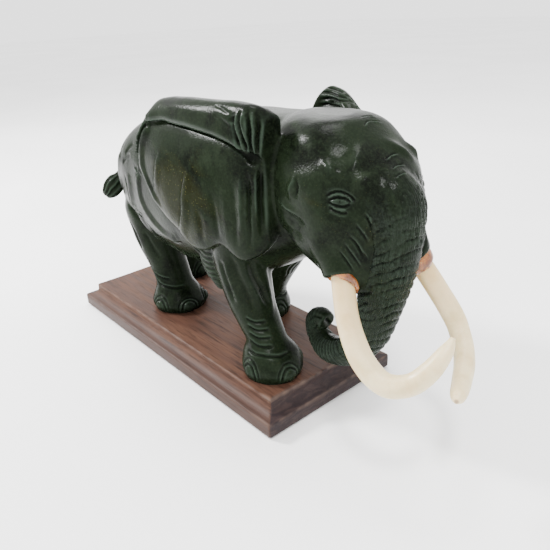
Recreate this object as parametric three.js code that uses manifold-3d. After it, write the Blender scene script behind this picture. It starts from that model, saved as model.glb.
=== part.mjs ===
// A walking elephant carved from one block of green stone, with glued-in tusks, bolted to a moulded
// hardwood plinth. Millimetres. +Z is up, +X runs to the head end, +Y is the elephant's left side,
// and the origin is the middle of the plinth's underside.
import * as THREE from "three";
import { mergeVertices } from "three/addons/utils/BufferGeometryUtils.js";
import Module from "manifold-3d";

const wasm = await Module();
wasm.setup();

// ---------------------------------------------------------------- driving dimensions
const GAP = 0.3; // clearance between pieces that touch
const BAIZE = 1.0; // thickness of the felt sheet under the plinth
const PLINTH_TOP = 20; // height of the plinth's top face
const TOP_LENGTH = 230; // top face of the plinth
const TOP_WIDTH = 92;
const MOULD_OUT = 8.5; // how far the plinth's lower band stands out past the top face
const STEP_DOWN = 3.4; // the upright step under the top arris
const BAND_TOP = 10.6; // top of the lower band
const CORNER = 1.2; // rounding of the plinth's upright corners
const SOLE = PLINTH_TOP + GAP; // the flat soles of the feet

const STUD_RADIUS = 2; // M4 studs, one to a foot
const STUD_FOOT = 2.2; // lower end of each stud
const STUD_TOP = 34;
const BORE_RADIUS = 6.5; // counterbores in the plinth's underside
const BORE_TOP = 8;
const WASHER_RADIUS = 4.5;
const WASHER_THICK = 0.8;
const NUT_ACROSS_CORNERS = 8.1;
const NUT_THICK = 3.2;

const HEAD_YAW = THREE.MathUtils.degToRad(12); // the head turns towards the elephant's right
const HEAD_X = 125; // the axis that the head turns about
const BELLY_SIDES = 26; // points round the torso and the head
const LEG_SIDES = 16;
const TRUNK_SIDES = 14;
const TUSK_SIDES = 14;

// Feet on the plinth, as [x, y].
const FEET = {
  front_right: [90.5, -22.5],
  front_left: [26, 26],
  hind_right: [-32, -14],
  hind_left: [-78, 26],
};

// ---------------------------------------------------------------- the carving, as rows of sections
// Torso: x, height of the axis, half-width, reach above the axis, reach below it.
const TORSO = [
  [-84, 124, 6, 8, 8],
  [-81, 123, 17, 17, 22],
  [-74, 122, 27, 26, 35],
  [-60, 122, 35, 36, 46],
  [-38, 122, 39, 45, 50],
  [0, 122, 43, 51, 52],
  [40, 125, 43, 52, 54],
  [75, 130, 40, 49, 50],
  [105, 135, 34, 44, 38],
  [124, 139, 26, 34, 26],
];

// Head, in level slices: height, middle along the head's own axis, reach forward, reach back, half-width.
const HEAD = [
  [182, -2, 13, 15, 9],
  [180.5, -2, 21, 24, 18],
  [176, -2, 28, 31, 25],
  [168, -1, 38.5, 37, 31],
  [158, 1, 47.5, 38, 35],
  [146, 2, 51.5, 36, 36],
  [132, 5, 49, 30, 35],
  [119, 14, 39, 20, 32],
  [108, 22, 29, 12, 25],
  [101, 26, 18, 8, 17],
  [98, 27, 10, 5, 10],
];

// Legs: x, y, height, half-length, half-width, from the sole up into the torso.
const LEGS = {
  front_right: [
    [90.5, -22.5, SOLE, 18.5, 18],
    [90.5, -22.5, 26, 20, 19],
    [89, -22.5, 34, 17.5, 17],
    [86, -22.5, 41, 13.5, 13],
    [81, -23, 50, 13.8, 13.5],
    [75, -24, 64, 15, 14.5],
    [71, -25, 80, 17, 16],
    [70.5, -26, 97, 18.5, 17],
    [74, -25, 115, 21, 17],
    [78, -20, 132, 16, 13],
  ],
  front_left: [
    [26, 26, SOLE, 18, 17.5],
    [26, 26, 26, 19.5, 19],
    [28, 26, 34, 16.5, 16],
    [31, 26, 41, 13.5, 13],
    [38, 26, 54, 14, 13.5],
    [48, 26, 70, 16, 15],
    [57, 26, 86, 19, 17],
    [64, 24, 104, 21, 17],
    [68, 18, 124, 15, 13],
  ],
  hind_right: [
    [-32, -14, SOLE, 19, 19],
    [-32, -14, 26, 20.8, 20.5],
    [-34, -14, 33, 17.5, 17],
    [-37, -14, 40, 14.3, 14],
    [-42, -14.5, 52, 14.5, 14.5],
    [-46, -16, 66, 15.5, 16.5],
    [-49, -17.5, 82, 17, 18],
    [-51, -17, 100, 20, 20],
    [-52, -13, 122, 18, 17],
  ],
  hind_left: [
    [-78, 26, SOLE, 18, 18],
    [-78, 26, 26, 19.5, 19.5],
    [-78, 26, 34, 16.5, 16.5],
    [-78, 25.5, 42, 14, 14],
    [-78, 24.5, 56, 14.5, 14.5],
    [-75, 23, 72, 18, 17],
    [-70, 20, 90, 21, 19],
    [-64, 16, 112, 22, 18],
    [-60, 12, 128, 15, 13],
  ],
};

// Fold of loose skin behind the right elbow, in the legs' own terms.
const ELBOW_FOLD = [
  [54, -29, 112, 17, 8],
  [50, -31, 96, 15, 7],
  [47, -31.5, 85, 11.5, 5.5],
  [48, -31, 76, 8, 4.5],
  [53, -29.5, 68, 4, 3.5],
];

// Trunk: x, y, z, radius, from the brow down to the curled tip.
const TRUNK = [
  [152, -8, 160, 8],
  [169, -8, 147, 14.5],
  [172, -8, 132, 13.8],
  [171.5, -8.5, 117, 13],
  [169, -9, 103, 12.5],
  [165, -10, 88, 12],
  [160, -10.5, 72, 11],
  [151, -10.5, 58, 9.5],
  [138, -9.5, 48.5, 8.6],
  [125, -7.5, 45.5, 8],
  [115.5, -5.5, 49.5, 7.2],
  [114, -5.5, 57.5, 7],
  [118.5, -6, 62, 6.7],
  [123.8, -6.5, 61, 5.8],
];

// Tail: x, y, z, radius, from the rump to the tip of the tuft.
const TAIL = [
  [-66, 0, 147, 6],
  [-77, -1, 146, 5.6],
  [-85.5, -5, 136, 4.8],
  [-90, -12, 123, 4.5],
  [-89, -20, 115, 5],
  [-89.5, -25.5, 110.5, 7.2],
  [-90.5, -29.5, 106, 7],
  [-91.5, -33, 102.5, 4.8],
  [-92, -34.5, 101, 2],
];

// Tusks: x, y, z, radius. The first row lies at the bottom of the socket.
const TUSKS = {
  right: [
    [151, -24, 119, 6],
    [158, -30, 106, 5.8],
    [167.5, -36, 90, 6],
    [179, -39.3, 76, 6.2],
    [192, -38.5, 67.8, 6],
    [203, -33.5, 70, 5.5],
    [209.5, -26.5, 78, 5],
    [212, -19.5, 86, 3.7],
    [212, -15.2, 90.5, 1.6],
  ],
  left: [
    [165.5, 8.5, 120, 6],
    [172, 15, 106, 5.9],
    [180, 21, 91, 5.9],
    [191, 22.8, 75.5, 5.8],
    [202.5, 14, 64.5, 5.5],
    [211.5, -2, 60.5, 5],
    [216.5, -12.5, 60.2, 4],
    [218, -16, 60.3, 2],
  ],
};

// Lip of the cheek round each tusk: x, y, z, radius, the last row lying in the plane of the socket's mouth.
const LIPS = {
  right: [
    [141, -20, 135, 17],
    [147, -23, 124, 15],
    [152.5, -25.5, 116, 12],
    [156.3, -28.6, 109, 9.4],
  ],
  left: [
    [152, 2, 138, 16],
    [160, 5, 128, 14],
    [166, 9, 119, 11],
    [169.3, 12.2, 112, 9],
  ],
};

// Ears, along x: x, top of the rolled rim, crease under the roll, lower hem, how far out the roll
// and the sheet lie from the middle plane.
const EAR_RIGHT = [
  [0, 155, 152, 143, 45, 48],
  [3, 163, 159, 136, 44, 48.5],
  [9, 174, 168, 126, 41, 49],
  [18, 184, 172, 116, 39, 49.5],
  [30, 187, 174, 111, 38, 50],
  [38, 187.5, 174, 108, 38, 50],
  [48, 188, 174, 101, 38, 50],
  [62, 188.5, 173.5, 102, 38, 50],
  [80, 189, 172, 110, 38, 49.5],
  [96, 189.5, 169, 105, 38, 48.5],
  [106, 188.5, 165, 109, 37, 46],
  [112, 184, 162, 117, 33, 39],
];
const EAR_LEFT = [
  [22, 150, 147, 134, 50, 54],
  [28, 158, 154, 122, 49, 55],
  [40, 164, 158, 111, 48, 56],
  [54, 168, 161, 105, 47, 56],
  [62, 172, 164, 103, 48, 55.5],
  [68, 181.5, 167, 105, 49, 55],
  [74, 186, 169, 107, 49, 54.5],
  [80, 185.5, 170, 109, 49, 53],
  [88, 183.5, 170, 110, 47, 52],
  [98, 178, 167, 108, 43, 48],
  [106, 172, 163, 110, 38, 44],
  [113, 165, 158, 116, 34, 40],
];

// ---------------------------------------------------------------- skins and solids
/** Rows of numbers run through a Catmull-Rom curve, `steps` rows to each gap. */
function smooth(rows, steps) {
  const out = [];
  for (let i = 0; i + 1 < rows.length; i++) {
    const before = rows[Math.max(i - 1, 0)];
    const after = rows[Math.min(i + 2, rows.length - 1)];
    for (let k = 0; k < steps; k++) {
      const t = k / steps;
      out.push(
        rows[i].map((b, j) => {
          const c = rows[i + 1][j];
          const slope = (c - before[j]) / 2;
          const next = (after[j] - b) / 2;
          return (
            b * (2 * t ** 3 - 3 * t ** 2 + 1) +
            slope * (t ** 3 - 2 * t ** 2 + t) +
            c * (3 * t ** 2 - 2 * t ** 3) +
            next * (t ** 3 - t ** 2)
          );
        }),
      );
    }
  }
  out.push(rows[rows.length - 1]);
  return out;
}

/** Closed solid whose skin runs through the rings, all of one length, with flat ends. */
function skin(rings) {
  const count = rings[0].length;
  const points = rings.flat();
  const faces = [];
  for (let r = 0; r + 1 < rings.length; r++) {
    for (let k = 0; k < count; k++) {
      const a = r * count + k;
      const b = r * count + ((k + 1) % count);
      faces.push(a, b, b + count, a, b + count, a + count);
    }
  }
  const ends = [0, (rings.length - 1) * count];
  for (const [side, start] of ends.entries()) {
    const middle = new THREE.Vector3();
    for (let k = 0; k < count; k++) middle.addScaledVector(points[start + k], 1 / count);
    points.push(middle);
    for (let k = 0; k < count; k++) {
      const a = start + k;
      const b = start + ((k + 1) % count);
      faces.push(...(side ? [a, b, points.length - 1] : [b, a, points.length - 1]));
    }
  }
  const geometry = new THREE.BufferGeometry().setFromPoints(points);
  geometry.setIndex(faces);
  return outward(solidOf(geometry));
}

/** Solid of a closed geometry. */
function solidOf(geometry) {
  const bare = geometry.clone();
  bare.deleteAttribute("normal");
  bare.deleteAttribute("uv");
  const merged = mergeVertices(bare, 1e-4);
  return new wasm.Manifold(
    new wasm.Mesh({
      numProp: 3,
      vertProperties: merged.attributes.position.array,
      triVerts: new Uint32Array(merged.index.array),
    }),
  );
}

/** The same solid with its faces pointing out. */
function outward(solid) {
  if (solid.volume() > 0) return solid;
  const mesh = solid.getMesh();
  const turned = mesh.triVerts.slice();
  for (let i = 0; i < turned.length; i += 3) {
    turned[i] = mesh.triVerts[i + 1];
    turned[i + 1] = mesh.triVerts[i];
  }
  return new wasm.Manifold(
    new wasm.Mesh({ numProp: 3, vertProperties: mesh.vertProperties, triVerts: turned }),
  );
}

const wave = (value, power) => Math.sign(value) * Math.abs(value) ** (2 / power);

/** Ring of a squared oval: reaches plusU and minusU along U, plusV and minusV along V. */
function oval(centre, U, V, [plusU, minusU, plusV, minusV], sides, power = 2.25) {
  return Array.from({ length: sides }, (_, k) => {
    const angle = (2 * Math.PI * k) / sides;
    const u = wave(Math.cos(angle), power);
    const v = wave(Math.sin(angle), power);
    return centre
      .clone()
      .addScaledVector(U, u * (u > 0 ? plusU : minusU))
      .addScaledVector(V, v * (v > 0 ? plusV : minusV));
  });
}

/** Round bar along rows of x, y, z, radius, its sections square to the path. */
function bar(rows, sides, steps, grow = 0) {
  const path = smooth(rows, steps);
  const places = path.map(([x, y, z]) => new THREE.Vector3(x, y, z));
  let side = new THREE.Vector3(0, 1, 0);
  const rings = path.map((row, i) => {
    const ahead = places[Math.min(i + 1, places.length - 1)];
    const behind = places[Math.max(i - 1, 0)];
    const along = ahead.clone().sub(behind).normalize();
    side = side.clone().addScaledVector(along, -side.dot(along)).normalize();
    const other = new THREE.Vector3().crossVectors(along, side);
    const radius = row[3] + grow;
    return oval(places[i], side, other, [radius, radius, radius, radius], sides, 2);
  });
  return skin(rings);
}

/** Upright cylinder between two heights. */
function post([x, y], radius, low, high, sides = 20) {
  const shape = new THREE.CylinderGeometry(radius, radius, high - low, sides);
  shape.rotateX(Math.PI / 2);
  shape.translate(x, y, (low + high) / 2);
  return solidOf(shape);
}

// ---------------------------------------------------------------- the carving
const X = new THREE.Vector3(1, 0, 0);
const Y = new THREE.Vector3(0, 1, 0);
const Z = new THREE.Vector3(0, 0, 1);

function torso() {
  const rings = smooth(TORSO, 2).map(([x, z, half, above, below]) =>
    oval(new THREE.Vector3(x, 0, z), Y, Z, [half, half, above, below], BELLY_SIDES, 2.4),
  );
  return skin(rings);
}

function head() {
  const forward = X.clone().applyAxisAngle(Z, -HEAD_YAW);
  const across = Y.clone().applyAxisAngle(Z, -HEAD_YAW);
  const rings = smooth(HEAD, 2).map(([z, middle, front, back, half]) => {
    const centre = new THREE.Vector3(HEAD_X, 0, z).addScaledVector(forward, middle);
    return oval(centre, forward, across, [front, back, half, half], BELLY_SIDES);
  });
  return skin(rings);
}

function leg(rows) {
  const rings = smooth(rows, 2).map(([x, y, z, long, wide]) =>
    oval(new THREE.Vector3(x, y, z), X, Y, [long, long, wide, wide], LEG_SIDES, 2.1),
  );
  return skin(rings);
}

/** One ear: a rolled rim along the top, a crease under it and a sheet down to the hem. */
function ear(rows, side) {
  const rings = smooth(rows, 1).map(([x, top, crease, hem, roll, sheet]) => {
    const drop = crease - hem;
    const outline = [
      [roll - 7, top - 4],
      [roll - 4, top - 1],
      [roll, top],
      [roll + 4, top - 2],
      [roll + 7, top - (top - crease) * 0.45],
      [roll + 7.5, crease + 2],
      [roll + 5.5, crease],
      [(roll + 2 * sheet) / 3 + 1.5, crease - drop * 0.12],
      [sheet, crease - drop * 0.4],
      [sheet, crease - drop * 0.7],
      [sheet - 1.5, hem + 3],
      [sheet - 5, hem],
      [sheet - 9, hem + 2],
      [sheet - 11, hem + drop * 0.3],
      [sheet - 14, hem + drop * 0.65],
      [roll - 7, crease],
    ];
    return outline.map(([out, z]) => new THREE.Vector3(x, side * out, z));
  });
  return skin(rings);
}

/** The whole animal in one block, with a socket for each tusk and a blind hole up each foot. */
function elephant() {
  let block = torso().add(head());
  for (const rows of [...Object.values(LEGS), ELBOW_FOLD]) block = block.add(leg(rows));
  block = block.add(bar(TRUNK, TRUNK_SIDES, 2));
  block = block.add(bar(TAIL, 10, 2));
  block = block.add(ear(EAR_RIGHT, -1));
  block = block.add(ear(EAR_LEFT, 1));
  for (const rows of Object.values(LIPS)) block = block.add(bar(rows, TUSK_SIDES, 2));
  for (const side of ["right", "left"]) {
    block = block.subtract(bar(TUSKS[side], TUSK_SIDES, 3, GAP));
    block = block.subtract(glueBead(side, GAP));
  }
  for (const foot of Object.values(FEET)) {
    block = block.subtract(post(foot, STUD_RADIUS + GAP, SOLE - 5, STUD_TOP + GAP, 16));
  }
  return block;
}

// ---------------------------------------------------------------- tusks and their glue
/** Bead of glue that squeezed out round a tusk, sunk a little into its socket's mouth. */
function glueBead(side, grow = 0) {
  const tusk = TUSKS[side];
  const start = new THREE.Vector3(...LIPS[side].at(-1));
  const along = new THREE.Vector3(...tusk[2]).sub(start).normalize();
  const across = new THREE.Vector3().crossVectors(along, Y).normalize();
  const other = new THREE.Vector3().crossVectors(along, across);
  const profile = [
    [-2 - grow, 7.6],
    [0, 8.1],
    [1.4, 8.3],
    [2.6, 8],
    [3.6 + grow, 7.3],
  ];
  const rings = profile.map(([out, radius]) => {
    const centre = start.clone().addScaledVector(along, out);
    const reach = radius + grow;
    return oval(centre, across, other, [reach, reach, reach, reach], 20, 2);
  });
  return skin(rings);
}

// ---------------------------------------------------------------- plinth and fixings
/** Ring of a rectangle with rounded corners, at one height. */
function rectangle(length, width, z) {
  const points = [];
  const corners = [
    [1, 1, 0],
    [-1, 1, 90],
    [-1, -1, 180],
    [1, -1, 270],
  ];
  for (const [sx, sy, turn] of corners) {
    for (const step of [0, 45, 90]) {
      const angle = THREE.MathUtils.degToRad(turn + step);
      points.push(
        new THREE.Vector3(
          sx * (length / 2 - CORNER) + CORNER * Math.cos(angle),
          sy * (width / 2 - CORNER) + CORNER * Math.sin(angle),
          z,
        ),
      );
    }
  }
  return points;
}

/** Board with an upright step, a cove and a plain band, bored for the four studs. */
function plinth() {
  const out = (distance, z) => rectangle(TOP_LENGTH + 2 * distance, TOP_WIDTH + 2 * distance, z);
  const stepFoot = PLINTH_TOP - STEP_DOWN;
  const rings = [out(MOULD_OUT, BAIZE + GAP), out(MOULD_OUT, BAND_TOP - 0.8), out(MOULD_OUT - 0.8, BAND_TOP)];
  const coveSteps = 6;
  for (let k = 1; k <= coveSteps; k++) {
    const angle = ((Math.PI / 2) * k) / coveSteps;
    const reach = (MOULD_OUT - 0.8) * (1 - Math.sin(angle));
    rings.push(out(reach, BAND_TOP + (stepFoot - BAND_TOP) * (1 - Math.cos(angle))));
  }
  rings.push(out(0, PLINTH_TOP - 0.7), out(-0.7, PLINTH_TOP));
  let board = skin(rings);
  for (const foot of Object.values(FEET)) {
    board = board.subtract(post(foot, STUD_RADIUS + GAP, 0, PLINTH_TOP + 5));
    board = board.subtract(post(foot, BORE_RADIUS, 0, BORE_TOP, 28));
  }
  return board;
}

function baize() {
  const inset = 1.5;
  const size = [TOP_LENGTH + 2 * (MOULD_OUT - inset), TOP_WIDTH + 2 * (MOULD_OUT - inset)];
  return skin([rectangle(...size, 0), rectangle(...size, BAIZE)]);
}

const WASHER_TOP = BORE_TOP - GAP;
const NUT_TOP = WASHER_TOP - WASHER_THICK - GAP;

function washer(foot) {
  const disc = post(foot, WASHER_RADIUS, WASHER_TOP - WASHER_THICK, WASHER_TOP, 24);
  return disc.subtract(post(foot, STUD_RADIUS + GAP, 0, PLINTH_TOP));
}

function nut(foot) {
  const body = post(foot, NUT_ACROSS_CORNERS / 2, NUT_TOP - NUT_THICK, NUT_TOP, 6);
  return body.subtract(post(foot, STUD_RADIUS + GAP, 0, PLINTH_TOP));
}

// ---------------------------------------------------------------- materials and scene graph
const finish = (color, roughness, metalness = 0) =>
  new THREE.MeshStandardMaterial({ color, roughness, metalness });
const STONE = finish("#2f4034", 0.18);
const TUSK = finish("#e0d8c4", 0.35);
const GLUE = finish("#c8792a", 0.3);
const WOOD = finish("#7c5a4e", 0.55);
const FELT = finish("#2c5138", 0.95);
const STEEL = finish("#9a9c9e", 0.35, 1);

const group = new THREE.Group();

/** Adds a solid to the figure as a named mesh. */
function place(name, solid, material) {
  const { vertProperties, triVerts, numProp } = solid.getMesh();
  if (numProp !== 3) throw new Error(`${name} carries extra vertex data`);
  const geometry = new THREE.BufferGeometry();
  geometry.setAttribute("position", new THREE.BufferAttribute(vertProperties, 3));
  geometry.setIndex(new THREE.BufferAttribute(triVerts, 1));
  geometry.computeVertexNormals();
  const mesh = new THREE.Mesh(geometry, material);
  mesh.name = name;
  group.add(mesh);
}

place("elephant", elephant(), STONE);
for (const side of ["right", "left"]) {
  place(`tusk_${side}`, bar(TUSKS[side], TUSK_SIDES, 3), TUSK);
  const bead = glueBead(side).subtract(bar(TUSKS[side], TUSK_SIDES, 3, GAP));
  place(`tusk_glue_${side}`, bead, GLUE);
}
place("plinth", plinth(), WOOD);
place("baize", baize(), FELT);
for (const [name, foot] of Object.entries(FEET)) {
  place(`stud_${name}`, post(foot, STUD_RADIUS, STUD_FOOT, STUD_TOP, 16), STEEL);
  place(`washer_${name}`, washer(foot), STEEL);
  place(`nut_${name}`, nut(foot), STEEL);
}

export default group;
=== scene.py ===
"""A walking elephant carved from green stone, with glued-in tusks, on a moulded hardwood plinth.

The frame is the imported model: metres, +Z up, +X to the head end, +Y the animal's left side, and the
origin at the middle of the plinth's underside. Shapes are worked out in millimetres with numpy and
written to meshes in metres.
"""

import logging
import math
from dataclasses import dataclass, field
from enum import Enum

import bpy
import numpy as np
from mathutils import Matrix


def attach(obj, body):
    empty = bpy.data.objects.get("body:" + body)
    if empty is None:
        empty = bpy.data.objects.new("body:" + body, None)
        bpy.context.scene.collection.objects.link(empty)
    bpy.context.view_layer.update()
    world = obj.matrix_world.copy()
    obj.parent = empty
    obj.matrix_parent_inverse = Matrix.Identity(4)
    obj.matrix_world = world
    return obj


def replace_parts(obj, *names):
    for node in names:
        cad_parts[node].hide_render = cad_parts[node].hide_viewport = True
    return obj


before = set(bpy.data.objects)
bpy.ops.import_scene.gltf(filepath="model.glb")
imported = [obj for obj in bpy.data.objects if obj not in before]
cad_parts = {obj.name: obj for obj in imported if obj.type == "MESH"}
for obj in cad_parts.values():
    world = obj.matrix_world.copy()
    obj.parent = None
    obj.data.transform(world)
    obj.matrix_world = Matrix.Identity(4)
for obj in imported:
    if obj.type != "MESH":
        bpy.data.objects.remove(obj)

LOG = logging.getLogger("elephant")
MM = 0.001
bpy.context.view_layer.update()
HEAD_TURN = 12.0  # degrees, to the animal's right
HEAD_YAW = math.radians(HEAD_TURN)
HEAD_AXIS = np.array([125.0, 0.0, 0.0])  # the upright line that the head turns about
BELL_REACH = 2.6  # a bell exp(-(d/w)^2) counts as nothing past this many widths


class Side(Enum):
    """The two sides of the animal, as the sign of Y."""

    RIGHT = -1
    LEFT = 1


class Mark(Enum):
    """How a line is worked into the stone: cut below the surface, or left standing above it."""

    CUT = -1.0
    RAISED = 1.0


# ------------------------------------------------------------------ numpy shapes
def catmull(rows: np.ndarray, steps: int, closed: bool = False) -> np.ndarray:
    """Runs a Catmull-Rom curve through rows of numbers.

    Each gap is a cubic Hermite blend whose slope at a row is half the step between its neighbours.

    Args:
        rows: the numbers, one row for each place.
        steps: how many rows to make in each gap.
        closed: whether the last row joins the first.

    Returns:
        The blended rows, with the last given row kept when the curve is open.
    """
    rows = np.asarray(rows, float)
    count = len(rows)
    start = np.arange(count if closed else count - 1)
    pick = (lambda i: rows[i % count]) if closed else (lambda i: rows[np.clip(i, 0, count - 1)])
    before, here, there, after = (pick(start + k)[:, None] for k in (-1, 0, 1, 2))
    t = (np.arange(steps) / steps)[None, :, None]
    out = (
        here * (2 * t**3 - 3 * t**2 + 1)
        + (there - before) / 2 * (t**3 - 2 * t**2 + t)
        + there * (3 * t**2 - 2 * t**3)
        + (after - here) / 2 * (t**3 - t**2)
    ).reshape(-1, rows.shape[1])
    return out if closed else np.vstack([out, rows[-1]])


def swell(x: np.ndarray | float, low: float, high: float) -> np.ndarray:
    """Smooth rise from 0 at low to 1 at high, flat at both ends."""
    t = np.clip((np.asarray(x, float) - low) / (high - low), 0.0, 1.0)
    return t * t * (3 - 2 * t)


def ripple_noise(points: np.ndarray, scale: float, seed: int, waves: int = 14) -> np.ndarray:
    """Smooth noise about zero: a sum of plane sine waves of random heading and phase.

    Args:
        points: places, in millimetres.
        scale: the size of the lumps, in millimetres.
        seed: picks the headings and phases.
        waves: how many waves are added.

    Returns:
        One value for each place, mostly between -1 and 1.
    """
    dice = np.random.default_rng(seed)
    heading = dice.normal(size=(waves, 3))
    heading /= np.linalg.norm(heading, axis=1, keepdims=True)
    pitch = 2 * np.pi / (scale * dice.uniform(0.7, 1.6, waves))
    phase = dice.uniform(0, 2 * np.pi, waves)
    return np.sin(points @ (heading * pitch[:, None]).T + phase).sum(axis=1) / math.sqrt(waves)


def oval_rings(
    centre: np.ndarray, u: np.ndarray, v: np.ndarray, reach: np.ndarray, sides: int, power: float
) -> np.ndarray:
    """Squared ovals about centres: centre + U reach |cos|^(2/power) + V reach |sin|^(2/power), signs kept.

    Args:
        centre: middles, shape (n, 3).
        u: first axis of each section, shape (n, 3) or (3,).
        v: second axis, likewise.
        reach: how far each oval goes along +u, -u, +v and -v, shape (n, 4).
        sides: points on each ring.
        power: 2 for an ellipse, more for a squarer one.

    Returns:
        Points of shape (n, sides, 3).
    """
    angle = 2 * np.pi * np.arange(sides) / sides
    cos, sin = np.cos(angle), np.sin(angle)
    along_u = np.sign(cos) * np.abs(cos) ** (2 / power) * np.where(cos > 0, reach[:, :1], reach[:, 1:2])
    along_v = np.sign(sin) * np.abs(sin) ** (2 / power) * np.where(sin > 0, reach[:, 2:3], reach[:, 3:4])
    u, v = (np.broadcast_to(axis, centre.shape)[:, None, :] for axis in (u, v))
    return centre[:, None, :] + along_u[..., None] * u + along_v[..., None] * v


def path_axes(path: np.ndarray) -> tuple[np.ndarray, np.ndarray, np.ndarray]:
    """Works out a path's tangent and two axes square to it.

    Args:
        path: places along the path, shape (n, 3).

    Returns:
        The unit tangent, the square axis nearest to +Y, and their cross product.
    """
    along = np.gradient(path, axis=0)
    along /= np.linalg.norm(along, axis=1, keepdims=True)
    side = np.array([0.0, 1.0, 0.0]) - along * along[:, 1:2]
    side /= np.linalg.norm(side, axis=1, keepdims=True)
    return along, side, np.cross(along, side)


def bar_rings(rows: np.ndarray, sides: int, steps: int) -> np.ndarray:
    """Runs circles along a smooth path, square to it.

    Args:
        rows: x, y, z, radius at each place.
        sides: points on each circle.
        steps: circles in each gap between rows.

    Returns:
        Points of shape (n, sides, 3).
    """
    path = catmull(rows, steps)
    _, side, other = path_axes(path[:, :3])
    return oval_rings(path[:, :3], side, other, np.repeat(path[:, 3:4], 4, axis=1), sides, 2.0)


@dataclass
class Skin:
    """A closed surface of quads and triangles, in millimetres."""

    points: np.ndarray = field(default_factory=lambda: np.zeros((0, 3)))
    faces: list = field(default_factory=list)

    def add_rings(self, rings: np.ndarray) -> "Skin":
        """Adds a closed skin through rings of one length, each end closed by a fan.

        Args:
            rings: points of shape (n, sides, 3).

        Returns:
            The skin itself, so that calls can be chained.
        """
        count, sides = rings.shape[:2]
        base = len(self.points)
        row = base + sides * np.arange(count - 1)[:, None]
        k = np.arange(sides)[None, :]
        nxt = (k + 1) % sides
        quads = np.stack([row + k, row + nxt, row + sides + nxt, row + sides + k], axis=-1).reshape(-1, 4)
        ends = np.vstack([rings[0].mean(axis=0), rings[-1].mean(axis=0)])
        first, last = base + count * sides, base + count * sides + 1
        low, high = base, base + (count - 1) * sides
        fan_low = np.stack([low + nxt[0], low + k[0], np.full(sides, first)], axis=-1)
        fan_high = np.stack([high + k[0], high + nxt[0], np.full(sides, last)], axis=-1)
        solid = np.vstack([rings.reshape(-1, 3), ends])
        faces = quads.tolist() + fan_low.tolist() + fan_high.tolist()
        corner = rings[:-1].reshape(-1, 3)
        middle = rings.reshape(-1, 3).mean(axis=0)
        facing = np.cross(np.roll(rings, -1, axis=1)[:-1] - rings[:-1], rings[1:] - rings[:-1]).reshape(-1, 3)
        if ((corner - middle) * facing).sum() < 0:
            faces = [face[::-1] for face in faces]
        self.points = np.vstack([self.points, solid])
        self.faces += faces
        return self

    def to_object(self, name: str) -> bpy.types.Object:
        """Makes a smooth-shaded object of the skin, in metres.

        Args:
            name: what the object and its mesh are called.

        Returns:
            The object, linked to the scene.
        """
        mesh = bpy.data.meshes.new(name)
        mesh.from_pydata((self.points * MM).tolist(), [], self.faces)
        mesh.update()
        mesh.shade_smooth()
        obj = bpy.data.objects.new(name, mesh)
        bpy.context.scene.collection.objects.link(obj)
        return obj


def set_attribute(obj: bpy.types.Object, name: str, values: np.ndarray) -> None:
    """Stores one number for each point of an object's mesh."""
    layer = obj.data.attributes.new(name, "FLOAT", "POINT")
    layer.data.foreach_set("value", np.asarray(values, np.float32))


def with_modifier(obj: bpy.types.Object, kind: str, **settings: object) -> bpy.types.Object:
    """Runs one modifier on an object and keeps the result as its mesh.

    Args:
        obj: the object to change.
        kind: the modifier's type name.
        settings: the modifier's properties.

    Returns:
        The same object with its new mesh.
    """
    modifier = obj.modifiers.new(kind.lower(), kind)
    for key, value in settings.items():
        setattr(modifier, key, value)
    graph = bpy.context.evaluated_depsgraph_get()
    made = bpy.data.meshes.new_from_object(obj.evaluated_get(graph))
    old = obj.data
    obj.modifiers.clear()
    obj.data = made
    bpy.data.meshes.remove(old)
    made.name = obj.name
    made.shade_smooth()
    return obj


# ------------------------------------------------------------------ carving
def edge_mean(values: np.ndarray, edges: np.ndarray, degree: np.ndarray) -> np.ndarray:
    """Means the values of each point's neighbours: their sum over the edges, divided by their number.

    Args:
        values: one row for each point.
        edges: the two ends of every edge, shape (2, m).
        degree: how many neighbours each point has, shape (n, 1).

    Returns:
        The means, shaped like the values.
    """
    a, b = edges
    size = len(values)
    summed = [np.bincount(a, column[b], size) + np.bincount(b, column[a], size) for column in values.T]
    return np.stack(summed, axis=1) / degree


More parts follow.
